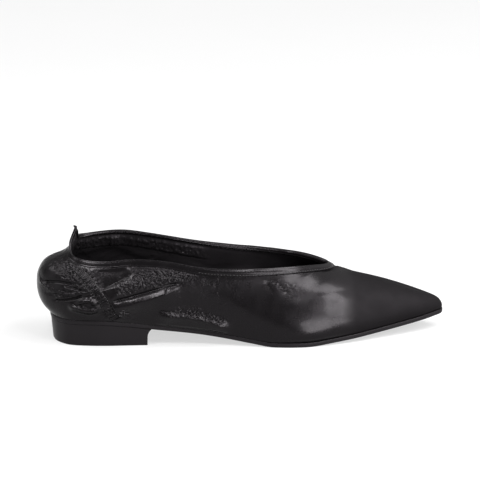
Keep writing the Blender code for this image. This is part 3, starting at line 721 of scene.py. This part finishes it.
def crumple_height(leather, crumple, seed):
    """Ridged noise inside the patch: sharp crests that wander, with soft valleys between them."""
    height = np.zeros(len(leather.points))
    mask = patch(leather, crumple)
    chosen = np.flatnonzero(mask > 0.03)
    x, y = (places[chosen] / size for places, size in zip(turned(leather, crumple), crumple.grain))
    y += 0.9 * waves(x * 0.35, y * 0.35, seed + 50)
    height[chosen] = crumple.height * mask[chosen] * (0.45 - 2.2 * abs(waves(x, y, seed)))
    return height


def slackness(leather):
    """0 along the tight folds, and 1 away from them."""
    return off_paths(leather, TIGHT_FOLDS, 5, 2.2, 3.6, 1)


def crumpled(leather):
    """How finely wrinkled the leather is at each point, from 0 to 1."""
    amount = sum(crumple.height * patch(leather, crumple) for crumple in CRUMPLES)
    return np.minimum(1, 1.8 * amount) * slackness(leather)


def worked(leather):
    """How much use has softened the leather at each point: 1 where it folds, little on the vamp."""
    amount = 1 - 0.85 * smooth(abs(leather.round), 110, 150)
    return amount * (0.35 + 0.65 * smooth(leather.up, 10, 16))


def band_height(leather, path, seed):
    """The ruched band: a raised strip with crosswise gathers, a stitched groove along each edge, and the
    gathers running on into the leather beside it."""
    height = np.zeros(len(leather.points))
    chosen, across, way, _ = near_path(leather, path, 12)
    off = abs(across)
    jitter = waves(way * 0.3, across * 0.12, seed)
    inside = 1 - smooth(off, BAND_HALF - 0.5, BAND_HALF + 0.2)
    tight = np.cos(2 * np.pi * way / BAND_GATHER + 5 * jitter)
    wide = np.cos(np.pi * way / BAND_GATHER + 6 * jitter)
    beside = (1 - inside) * np.exp(-np.maximum(off - BAND_HALF, 0) / 2.6) * np.where(across > 0, 0.22, 0.60)
    edge = np.exp(-(((off - BAND_HALF) / 0.55) ** 2))
    height[chosen] = inside * (0.25 + 0.30 * tight) + beside * wide - 0.4 * edge
    return height


def rungs(leather):
    """How far along a ruched band each point lies, in millimetres, and 1 on the bands and 0 off them."""
    along, inside = np.zeros((2, len(leather.points)))
    for path in BANDS:
        chosen, across, way, _ = near_path(leather, path, 8)
        along[chosen] = way
        inside[chosen] = 1 - smooth(abs(across), BAND_HALF - 0.6, BAND_HALF + 0.1)
    return along, inside


def folds(leather):
    """How far the leather stands out of the last's surface at each point, in metres."""
    height = sum(crease_height(leather, crease) for crease in CREASES)
    height += sum(puff.height * patch(leather, puff) for puff in PUFFS)
    slack = slackness(leather)
    for seed, crumple in enumerate(CRUMPLES):
        height += slack * crumple_height(leather, crumple, seed * 3.7)
    height *= off_paths(leather, BANDS, 6, BAND_HALF - 0.5, BAND_HALF + 1.5)
    height += sum(band_height(leather, path, seed) for path, seed in zip(BANDS, BAND_SEEDS))
    sag = [0.10 * noise.noise(Vector(p) * 60) + 0.05 * noise.noise(Vector(p) * 150) for p in leather.points]
    height += np.array(sag) * (0.3 + 0.7 * slack)
    cover = 1.8 + 2.2 * smooth(abs(leather.round), 5, 40)
    return height * smooth(leather.drop, cover, cover + 2.4) * smooth(leather.up, 0, 2.5) * MM


def casing_reach(leather):
    """1 where the elastic casing lies inside the topline, 0 elsewhere."""
    band = smooth(leather.drop, 1.6, 5.0) * (1 - smooth(leather.drop, CASING_WIDTH - 1, CASING_WIDTH))
    return band * (1 - smooth(abs(leather.round), CASING_END, CASING_END + 10))


def casing_height(leather):
    """How far the gathered elastic casing stands into the shoe, in metres: coarse gathers at the back, then
    fine ones, with a flat barred tab between them on the medial side, a seam along the casing's edge and the
    slack lining below it."""
    way, drop = leather.round, leather.drop
    coarse = 1 - smooth(abs(way), 38, 46)
    wavy = waves(way / 9, drop / 6, 3)
    broad = np.cos(2 * np.pi * way / 3.1 + 7 * wavy)
    narrow = np.cos(2 * np.pi * way / 1.9 + 9 * wavy)
    broken = waves(way / 1.6, drop / 2.4, 11)
    height = 0.35 + coarse * (0.55 * broad + 1.4 * broken) + (1 - coarse) * (0.24 * narrow + 0.8 * broken)
    off_tab = abs(way - CASING_TAB)
    tab = (1 - smooth(off_tab, 3.0, 3.6)) * (1 - smooth(drop, CASING_WIDTH - 1.2, CASING_WIDTH - 0.5))
    bars = 1.15 + 0.22 * np.cos(2 * np.pi * off_tab / 2.2)
    height += tab * (bars - height)
    seam = np.exp(-(((drop - CASING_WIDTH - 0.3) / 0.45) ** 2)) * (1 - smooth(abs(way), 116, 126))
    below = 0.9 * waves(way / 16, drop / 7, 29) * smooth(drop, CASING_WIDTH, CASING_WIDTH + 4)
    return (casing_reach(leather) * height - 0.3 * seam + below * smooth(leather.up, 1, 5)) * MM


def new_piece(name, points, faces, material, stands_for=(), sharp=None):
    mesh = bpy.data.meshes.new(name)
    mesh.from_pydata([tuple(p) for p in points], [], faces)
    mesh.materials.append(material)
    mesh.shade_smooth()
    if sharp:
        mesh.set_sharp_from_angle(angle=math.radians(sharp))
    piece = bpy.data.objects.new(name, mesh)
    bpy.context.collection.objects.link(piece)
    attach(piece, "root")
    if stands_for:
        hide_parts(*stands_for)
    return piece


def as_bmesh(points, faces):
    shaped = bmesh.new()
    vertices = [shaped.verts.new(p) for p in points]
    for corners in faces:
        shaped.faces.new([vertices[i] for i in corners])
    return shaped


def surface_finder(points, faces):
    """A function that gives the nearest place of a surface and its outward normal there."""
    shaped = as_bmesh(points, faces)
    bmesh.ops.triangulate(shaped, faces=shaped.faces)
    shaped.normal_update()
    shaped.verts.index_update()
    shaped.faces.ensure_lookup_table()
    tree = BVHTree.FromBMesh(shaped)
    normals = np.array([v.normal for v in shaped.verts])
    corners = [[v.index for v in face.verts] for face in shaped.faces]
    shaped.free()

    def find(place):
        found, _, face, _ = tree.find_nearest(Vector(place))
        found = np.array(found)
        near = corners[face]
        gap = np.linalg.norm(points[near] - found, axis=1)
        return found, unit((normals[near] / (gap[:, None] + 1e-6)).sum(axis=0))

    return find


def rim_frames(leather, points, find):
    """The binding's fold line above the topline, all round: for each of its places, the direction down the
    wall and the outward normal."""
    rim = points[leather.rim].copy()
    way = abs(leather.round[leather.rim])
    peak = 1 - smooth(way, 0, BACK_POINT_HALF)
    medial = (leather.round[leather.rim] < 0) * (smooth(way, 0, 8) - smooth(way, 12, 50))
    rim[:, 2] += BINDING_RISE + BACK_POINT * peak + MEDIAL_RISE * medial
    rim[:, 0] += BACK_POINT_LEAN * peak - RIM_BACK_SHIFT * (1 - smooth(way, 4, 26))
    frames = []
    for i, place in enumerate(rim):
        along = unit(rim[(i + 1) % len(rim)] - rim[i - 1])
        below = unit(np.cross(along, find(place)[1]))
        frames.append((place, below, np.cross(below, along)))
    return frames


def binding_size(place):
    """The binding's width and thickness at a place on the topline."""
    back = place[0] + ORIGIN_X
    width = BINDING_BACK_WIDTH + (BINDING_WIDTH - BINDING_BACK_WIDTH) * float(smooth(back, -0.004, 0.026))
    return width, BINDING_LEATHER + BINDING_PADDING * float(smooth(back, 0.085, 0.125))


def make_binding(frames, find_outer, find_inner):
    """The folded strip over the topline, a little padded, with a channel where its stitches sink in. leg is
    the strip's face from its edge up to the fold: shares of its width and of its thickness."""
    leg = ((1.00, -0.1), (1.01, 0.35), (0.98, 0.70), (0.92, 0.90), (0.85, 0.84), (0.79, 0.74), (0.72, 0.86),
           (0.60, 1.04), (0.45, 1.13), (0.30, 1.14), (0.15, 1.10), (0.04, 1.03))
    rows = []
    for place, below, normal in frames:
        width, thick = binding_size(place)
        row = []
        for share, height in leg:
            found, outward = find_outer(place + below * share * width)
            row.append(found + outward * height * thick)
        for turn in np.linspace(0.08, 0.92, 9) * math.pi:
            over = (RIM_WALL / 2 + thick) * math.cos(turn) - RIM_WALL / 2
            row.append(place + normal * over - below * thick * math.sin(turn))
        for share, height in leg[::-1]:
            found, outward = find_inner(place + below * share * width / 2 - normal * RIM_WALL)
            row.append(found - outward * height * thick)
        rows.append(row)
    size, count = len(rows[0]), len(rows)
    faces = []
    for i in range(count):
        a, b = i * size, (i + 1) % count * size
        faces += [(a + k, b + k, b + k + 1, a + k + 1) for k in range(size - 1)]
    new_piece("topline_binding", np.concatenate(rows), faces, smooth_leather("binding", 0.25).material,
              ["collar_binding"])


def add_stitch(points, faces, spots, normals):
    """One stitch through the spots, added to the points and faces: a short thread that dips at both ends."""
    sides = 6
    first = len(points)
    ahead = unit(spots[-1] - spots[0])
    for spot, normal, t in zip(spots, normals, np.linspace(0, 1, len(spots))):
        across = unit(np.cross(ahead, normal))
        swell = math.sin(math.pi * (0.08 + 0.84 * t)) ** 0.5
        centre = spot + normal * STITCH_RADIUS * (1.5 * swell - 1.1)
        for k in range(sides):
            angle = 2 * math.pi * k / sides
            spoke = across * math.cos(angle) + normal * math.sin(angle)
            points.append(centre + STITCH_RADIUS * swell * spoke)
    last = len(points) - sides
    for ring in range(first, last, sides):
        faces += bridge(ring, ring + sides, sides)
    faces += [tuple(range(first + sides - 1, first - 1, -1)), tuple(range(last, last + sides))]


def make_stitches(name, lines, pitch, length, slot, material):
    """Small stitches along lines. Each line is a list of places and outward normals."""
    points, faces = [], []
    for line in lines:
        columns = np.hstack([np.array(part) for part in zip(*line)])
        way = way_along(columns[:, :3])
        for start in np.arange(0.5 * pitch, way[-1] - length, pitch):
            at = start + np.linspace(0, 1, 5) * length
            spots = np.column_stack([np.interp(at, way, column) for column in columns.T])
            add_stitch(points, faces, spots[:, :3], spots[:, 3:])
    new_piece(name, points, faces, material)


def binding_seam(frames, find):
    """The line of the binding's stitches, in its channel."""
    line = []
    for place, below, _ in frames:
        width, thick = binding_size(place)
        if place[0] + ORIGIN_X > STITCHES_START:
            found, facing = find(place + below * STITCH_LINE * width)
            line.append((found + facing * 0.72 * thick, facing))
    return line


def band_seams(leather, find):
    """The lines of stitches along both edges of the ruched bands."""
    lines = []
    for path in BANDS:
        middle = np.array([leather.spot(*place) for place in fine_path(path[:-1])])
        ahead = unit(np.gradient(middle, axis=0))
        for edge in (-BAND_HALF, BAND_HALF):
            lines.append([find(place + np.cross(find(place)[1], along) * edge * MM)
                          for place, along in zip(middle, ahead)])
    return lines


def inset_sides(stations, inset):
    """The lateral and the medial points on the feather line, moved in by a distance square to it."""
    step = 0.02
    sides = []
    for side, turn in ((LATERAL, 1), (MEDIAL, -1)):
        # Past an end station the mirrored splines go on round to the other side.
        along = unit(foot_point(side, stations + step) - foot_point(side, stations - step))
        inward = np.column_stack([-along[:, 1], along[:, 0]]) * turn
        sides.append(foot_point(side, stations) + inward * np.reshape(inset, (-1, 1)))
    return sides


def outline(stations, inset):
    """The feather line as a closed loop of points, moved in by a distance. It runs out along the lateral side
    to the tip and back along the medial one."""
    lateral, medial = inset_sides(stations, inset)
    return np.concatenate([lateral, medial[-2:0:-1]])


def bridge(first, second, count):
    """Quads between two closed loops of the same count, given their first vertices."""
    return [(first + i, first + (i + 1) % count, second + (i + 1) % count, second + i) for i in range(count)]


def outward_faces(points, faces):
    """The faces of a closed solid, turned where needed so that all of them face outwards."""
    shaped = as_bmesh(points, faces)
    bmesh.ops.recalc_face_normals(shaped, faces=shaped.faces)
    if shaped.calc_volume(signed=True) < 0:
        bmesh.ops.reverse_faces(shaped, faces=shaped.faces)
    shaped.verts.index_update()
    turned_faces = [tuple(v.index for v in face.verts) for face in shaped.faces]
    shaped.free()
    return turned_faces


def make_solid(name, loops, past, material, node, sharp):
    """A closed solid through loops of plan points and heights. Each end is closed by strips across the shoe:
    point i faces the point that lies i + past places before the loop's start."""
    rings = [np.column_stack([plan[:, 0] - ORIGIN_X, plan[:, 1], height]) for plan, height in loops]
    points = np.concatenate(rings)
    count = len(rings[0])
    last = len(points) - count
    faces = []
    for first in (0, last):
        for i in range(count // 2):
            facing = [first + (count - past - k) % count for k in (i + 1, i)]
            faces.append(tuple(dict.fromkeys((first + i, first + i + 1, *facing))))
    for first in range(0, last, count):
        faces += bridge(first, first + count, count)
    new_piece(name, points, outward_faces(points, faces), material, [node], sharp)


def quarter_round(radius, steps):
    """A rounded edge, as points: how far each lies from the side and from the face that meet there."""
    angles = np.linspace(0, math.pi / 2, steps)
    return [(radius * (1 - math.sin(a)), radius * (1 - math.cos(a))) for a in angles]


def make_sole(material):
    """The sole with its edges rounded, drawn all round at even steps."""
    way = feather_way(LATERAL, FINE)
    stations = np.interp(np.linspace(0, way[-1], 260), way, FINE)
    reach = SOLE_THICKNESS * level_curve(*zip(*SOLE_REACH), stations)
    # Two loops inside the edge keep the strips across the underside even.
    rows = [(0.006, 0), (0.003, 0)] + quarter_round(SOLE_EDGE_ROUND, 6)
    rows += [(inset, SOLE_THICKNESS - drop) for drop, inset in quarter_round(SOLE_TOP_ROUND, 4)]
    loops = []
    for inset, height in rows:
        plan = outline(stations, inset - reach)
        loops.append((plan, underside(plan[:, 0]) + height))
    make_solid("sole", loops, 0, material, "outsole", 50)


def heel_loop(inset, breast):
    """The heel block's outline, from the lateral end of the breast round the back to the medial end."""
    stations = float(station_at(breast, 1, 4)) * np.linspace(1, 0, 80) ** 0.8
    lateral, medial = inset_sides(stations, inset)
    loop = np.concatenate([lateral, medial[-2::-1]])
    loop[0, 0] = loop[-1, 0] = breast
    return loop


def make_heel(material):
    """The heel block: it tapers a little towards the floor, and its front curves forward into the waist."""
    curve_start = 0.35
    rows = [(rise / HEEL_HEIGHT, inset) for inset, rise in quarter_round(HEEL_EDGE_ROUND, 6)]
    rows += [(share, 0) for share in np.linspace(0.12, 1, 16)]
    loops = []
    for share, rounding in rows:
        flare = BREAST_FLARE * max(0, (share - curve_start) / (1 - curve_start)) ** 3
        inset = HEEL_INSET + HEEL_TAPER * (1 - share) + rounding
        plan = heel_loop(inset, HEEL_BLOCK_LENGTH - rounding + flare)
        loops.append((plan, share * (underside(plan[:, 0]) - SEAM)))
    make_solid("heel_block", loops, 1, material, "heel", 35)


def add_node(tree, kind, inputs=None, **settings):
    """A node of a material or the world, with values or other nodes' sockets for its inputs."""
    node = tree.nodes.new("ShaderNode" + kind)
    for key, value in settings.items():
        setattr(node, key, value)
    for socket, value in (inputs or {}).items():
        if isinstance(value, bpy.types.NodeSocket):
            tree.links.new(value, node.inputs[socket])
        else:
            node.inputs[socket].default_value = value
    return node


class Shader:
    """A Principled material with its nodes added one at a time."""

    def __init__(self, name, **constants):
        self.material = bpy.data.materials.new(name)
        self.material.use_nodes = True
        self.tree = self.material.node_tree
        self.surface = self.tree.nodes["Principled BSDF"]
        for socket, value in constants.items():
            self.surface.inputs[socket.replace("_", " ")].default_value = value
        self.place = self.add("TexCoord").outputs["Object"]

    def add(self, kind, inputs=None, **settings):
        return add_node(self.tree, kind, inputs, **settings)

    def drive(self, socket, value):
        """Links a node's output to an input of the surface."""
        self.tree.links.new(value, self.surface.inputs[socket])

    def noise(self, scale, detail, rough=0.5, kind="FBM", distort=0.0):
        settings = {"Vector": self.place, "Scale": scale, "Detail": detail, "Roughness": rough,
                    "Distortion": distort}
        return self.add("TexNoise", settings, noise_type=kind).outputs["Fac"]

    def spread(self, value, to_low, to_high, low=0, high=1):
        """The value's range from low to high, mapped to another range."""
        return self.add("MapRange", {"Value": value, "From Min": low, "From Max": high, "To Min": to_low,
                                     "To Max": to_high}).outputs["Result"]

    def times(self, first, second, more=0):
        """The product of two values, with a third one added."""
        return self.add("Math", {0: first, 1: second, 2: more}, operation="MULTIPLY_ADD").outputs[0]

    def marked(self, name):
        """A number that the mesh carries at each point."""
        return self.add("Attribute", attribute_name=name).outputs["Fac"]

    def colour(self, factor, dark, light):
        node = self.add("Mix", {"Factor": factor}, data_type="RGBA")
        node.inputs["A"].default_value = (*dark, 1)
        node.inputs["B"].default_value = (*light, 1)
        self.drive("Base Color", node.outputs["Result"])

    def rough(self, factor, low, high):
        self.drive("Roughness", self.spread(factor, low, high, 0.3, 0.7))

    def bump(self, height, depth):
        """Relief of a depth in metres, laid over what was added before."""
        node = self.add("Bump", {"Height": height, "Distance": depth, "Strength": 1.0})
        before = self.surface.inputs["Normal"].links
        if before:
            self.tree.links.new(before[0].from_socket, node.inputs["Normal"])
        self.drive("Normal", node.outputs["Normal"])


def smooth_leather(name, gloss):
    """Thin glazed calf: pores and hair cells too small to see one by one."""
    shader = Shader(name, Specular_IOR_Level=0.17, Specular_Tint=PURPLE_GREY, Coat_Weight=0.08,
                    Coat_Roughness=0.13)
    shader.colour(shader.noise(38, 4), (0.00324, 0.00279, 0.00318), (0.0053, 0.0047, 0.0052))
    shader.rough(shader.noise(120, 3), gloss - 0.04, gloss + 0.05)
    shader.bump(shader.noise(1500, 2), 0.00001)
    shader.bump(shader.noise(520, 3), 0.00003)
    return shader


def worn_leather():
    """The same calf with what the mesh is marked for: a matt toe, fine wrinkles where it folds, and the rungs
    of the ruched bands."""
    shader = smooth_leather("calf", 0.27)
    matt = shader.marked("matt")
    glazed = shader.surface.inputs["Roughness"].links[0].from_socket
    shader.drive("Roughness", shader.times(matt, 0.34, glazed))
    shader.drive("Coat Weight", shader.spread(matt, 0.08, 0.0))
    duller = shader.spread(matt, 0.17, 0.14)
    shader.drive("Specular IOR Level", shader.times(shader.marked("band"), 0.16, duller))
    wrinkles = shader.noise(820, 3, 0.6, "RIDGED_MULTIFRACTAL", 0.5)
    shader.bump(shader.times(wrinkles, shader.marked("crumpled")), 0.00044)
    soft = shader.noise(150, 3, 0.55, distort=0.5)
    shader.bump(shader.times(soft, shader.marked("worked")), 0.00045)
    wander = shader.spread(shader.noise(260, 2), -1.6, 1.6, 0.3, 0.7)
    angle = shader.times(shader.marked("band_way"), 2 * math.pi / BAND_RUNG, wander)
    rung = shader.add("Math", {0: angle}, operation="SINE").outputs[0]
    shader.bump(shader.times(rung, shader.marked("band")), 0.00024)
    return shader.material


def lining_leather(name, gathered):
    """Soft matt lining, and the glossier gathered casing where the mesh is marked for it."""
    shader = Shader(name, Specular_IOR_Level=0.20, Specular_Tint=PURPLE_GREY)
    shader.colour(shader.noise(55, 4), (0.009, 0.0081, 0.0089), (0.018, 0.0162, 0.0179))
    if gathered:
        casing = shader.marked("casing")
        shader.drive("Roughness", shader.spread(casing, 0.46, 0.31))
        shader.drive("Specular IOR Level", shader.spread(casing, 0.08, 0.33))
        shader.bump(shader.times(shader.noise(620, 3, 0.6), casing), 0.00050)
    else:
        shader.rough(shader.noise(140, 3), 0.40, 0.52)
    shader.bump(shader.noise(900, 4), 0.00005)
    return shader.material


def rubber(name, low, high):
    shader = Shader(name, Specular_IOR_Level=0.24, Specular_Tint=PURPLE_GREY)
    shader.colour(shader.noise(60, 4), (0.0060, 0.0053, 0.0059), (0.0100, 0.0090, 0.0098))
    shader.rough(shader.noise(90, 4), low, high)
    shader.bump(shader.noise(1300, 3), 0.00003)
    shader.bump(shader.noise(240, 2), 0.00003)
    return shader.material


def thread():
    shader = Shader("thread", Specular_IOR_Level=0.4, Sheen_Weight=0.2)
    shader.colour(shader.noise(900, 2), (0.010, 0.009, 0.010), (0.028, 0.026, 0.027))
    shader.rough(shader.noise(700, 2), 0.40, 0.55)
    shader.bump(shader.noise(4000, 2), 0.00002)
    return shader.material


def mark(piece, name, values):
    """Stores a number at each of the piece's points for its material to read."""
    attribute = piece.data.attributes.new(name, "FLOAT", "POINT")
    attribute.data.foreach_set("value", np.asarray(values, np.float32))


def direction(azimuth, elevation):
    """A unit vector away from the shoe: azimuth 0 is towards -Y and 90 towards the toe."""
    a, e = math.radians(azimuth), math.radians(elevation)
    return Vector((math.sin(a) * math.cos(e), -math.cos(a) * math.cos(e), math.sin(e)))


def add_aimed(data, target, azimuth, elevation, distance, roll=0):
    """A light or camera that looks at a target from a direction and a distance."""
    thing = bpy.data.objects.new(data.name, data)
    back = direction(azimuth, elevation)
    thing.location = Vector(target) + back * distance
    thing.rotation_mode = "QUATERNION"
    thing.rotation_quaternion = (-back).to_track_quat("-Z", "Y") @ Quaternion((0, 0, 1), math.radians(roll))
    bpy.context.collection.objects.link(thing)
    return thing


def make_light(light):
    """A studio light with an even brightness over its face."""
    data = bpy.data.lights.new(light.name, "AREA")
    data.shape = "RECTANGLE"
    data.size = light.width
    data.size_y = light.height
    data.energy = light.radiance * math.pi * light.width * light.height
    lamp = add_aimed(data, light.target, light.azimuth, light.elevation, light.distance, light.roll)
    lamp.visible_camera = False


def make_camera():
    data = bpy.data.cameras.new("camera")
    data.sensor_width = SENSOR_WIDTH
    data.lens = SENSOR_WIDTH * CAMERA_DISTANCE / FRAME_WIDTH
    bpy.context.scene.camera = add_aimed(data, CAMERA_TARGET, *CAMERA_ANGLE, CAMERA_DISTANCE)


def make_floor():
    mesh = bpy.data.meshes.new("floor")
    side = 6.0
    corners = [(-side, -side, 0), (side, -side, 0), (side, side, 0), (-side, side, 0)]
    mesh.from_pydata(corners, [], [(0, 1, 2, 3)])
    shader = Shader("floor", Specular_IOR_Level=0.1, Emission_Color=(1, 1, 1, 1), Emission_Strength=0.63)
    shader.colour(shader.noise(3, 2), (0.20, 0.20, 0.20), (0.22, 0.22, 0.22))
    shader.rough(shader.noise(20, 2), 0.85, 0.95)
    mesh.materials.append(shader.material)
    floor = bpy.data.objects.new("floor", mesh)
    bpy.context.collection.objects.link(floor)


def make_room():
    """A pale studio all round, with darker parts of the room towards DARK_SIDES."""
    world = bpy.data.worlds.new("studio")
    world.use_nodes = True
    tree = world.node_tree
    place = add_node(tree, "TexCoord").outputs["Generated"]
    bright = ROOM
    for azimuth, elevation, dark in DARK_SIDES:
        facing = add_node(tree, "VectorMath", {0: place, 1: direction(azimuth, elevation)},
                          operation="DOT_PRODUCT").outputs["Value"]
        ends = {"From Min": 0.25, "From Max": 0.85, "To Min": 1.0, "To Max": dark}
        level = add_node(tree, "MapRange", {"Value": facing, **ends},
                         interpolation_type="SMOOTHSTEP").outputs["Result"]
        bright = add_node(tree, "Math", {0: level, 1: bright}, operation="MULTIPLY").outputs[0]
    background = tree.nodes["Background"]
    background.inputs["Color"].default_value = (1, 1, 1, 1)
    tree.links.new(bright, background.inputs["Strength"])
    bpy.context.scene.world = world


def make_shoe():
    outer = Leather(LEATHER_STEPS, LEATHER_ROWS)
    outer_points = outer.points + outer.normals * folds(outer)[:, None]
    upper = new_piece("leather_upper", outer_points, outer.faces, worn_leather(), ["upper"])
    mark(upper, "worked", worked(outer))
    mark(upper, "crumpled", crumpled(outer))
    mark(upper, "matt", smooth(abs(outer.round), *MATT_TOE))
    along, inside = rungs(outer)
    mark(upper, "band_way", along)
    mark(upper, "band", inside)

    inner = Leather(LINING_STEPS, LINING_ROWS)
    wall = RIM_WALL + (WALL - RIM_WALL) * smooth(inner.drop, 1, 5)
    depth = wall + casing_height(inner) - 0.5 * np.minimum(folds(inner), 0.0006)
    inner_points = inner.points - inner.normals * depth[:, None]
    inner_faces = [corners[::-1] for corners in inner.faces]
    lining = new_piece("lining", inner_points, inner_faces, lining_leather("lining_leather", True))
    mark(lining, "casing", casing_reach(inner))

    find_outer = surface_finder(outer_points, outer.faces)
    find_inner = surface_finder(inner_points, inner.faces)
    frames = rim_frames(outer, outer_points, find_outer)
    make_binding(frames, find_outer, find_inner)
    black = thread()
    seam = binding_seam(frames, find_outer)
    make_stitches("binding_stitches", [seam], *BINDING_STITCH, "collar_binding", black)
    make_stitches("band_stitches", band_seams(outer, find_outer), *BAND_STITCH, "upper", black)

    make_sole(rubber("sole_rubber", 0.36, 0.50))
    make_heel(rubber("heel_rubber", 0.34, 0.46))
    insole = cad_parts["insole"].data
    insole.materials.clear()
    insole.materials.append(lining_leather("insole_leather", False))


bpy.context.scene.view_settings.view_transform = "Standard"
bpy.context.scene.view_settings.gamma = VIEW_GAMMA
make_camera()
make_floor()
make_room()
for light in LIGHTS:
    make_light(light)
make_shoe()
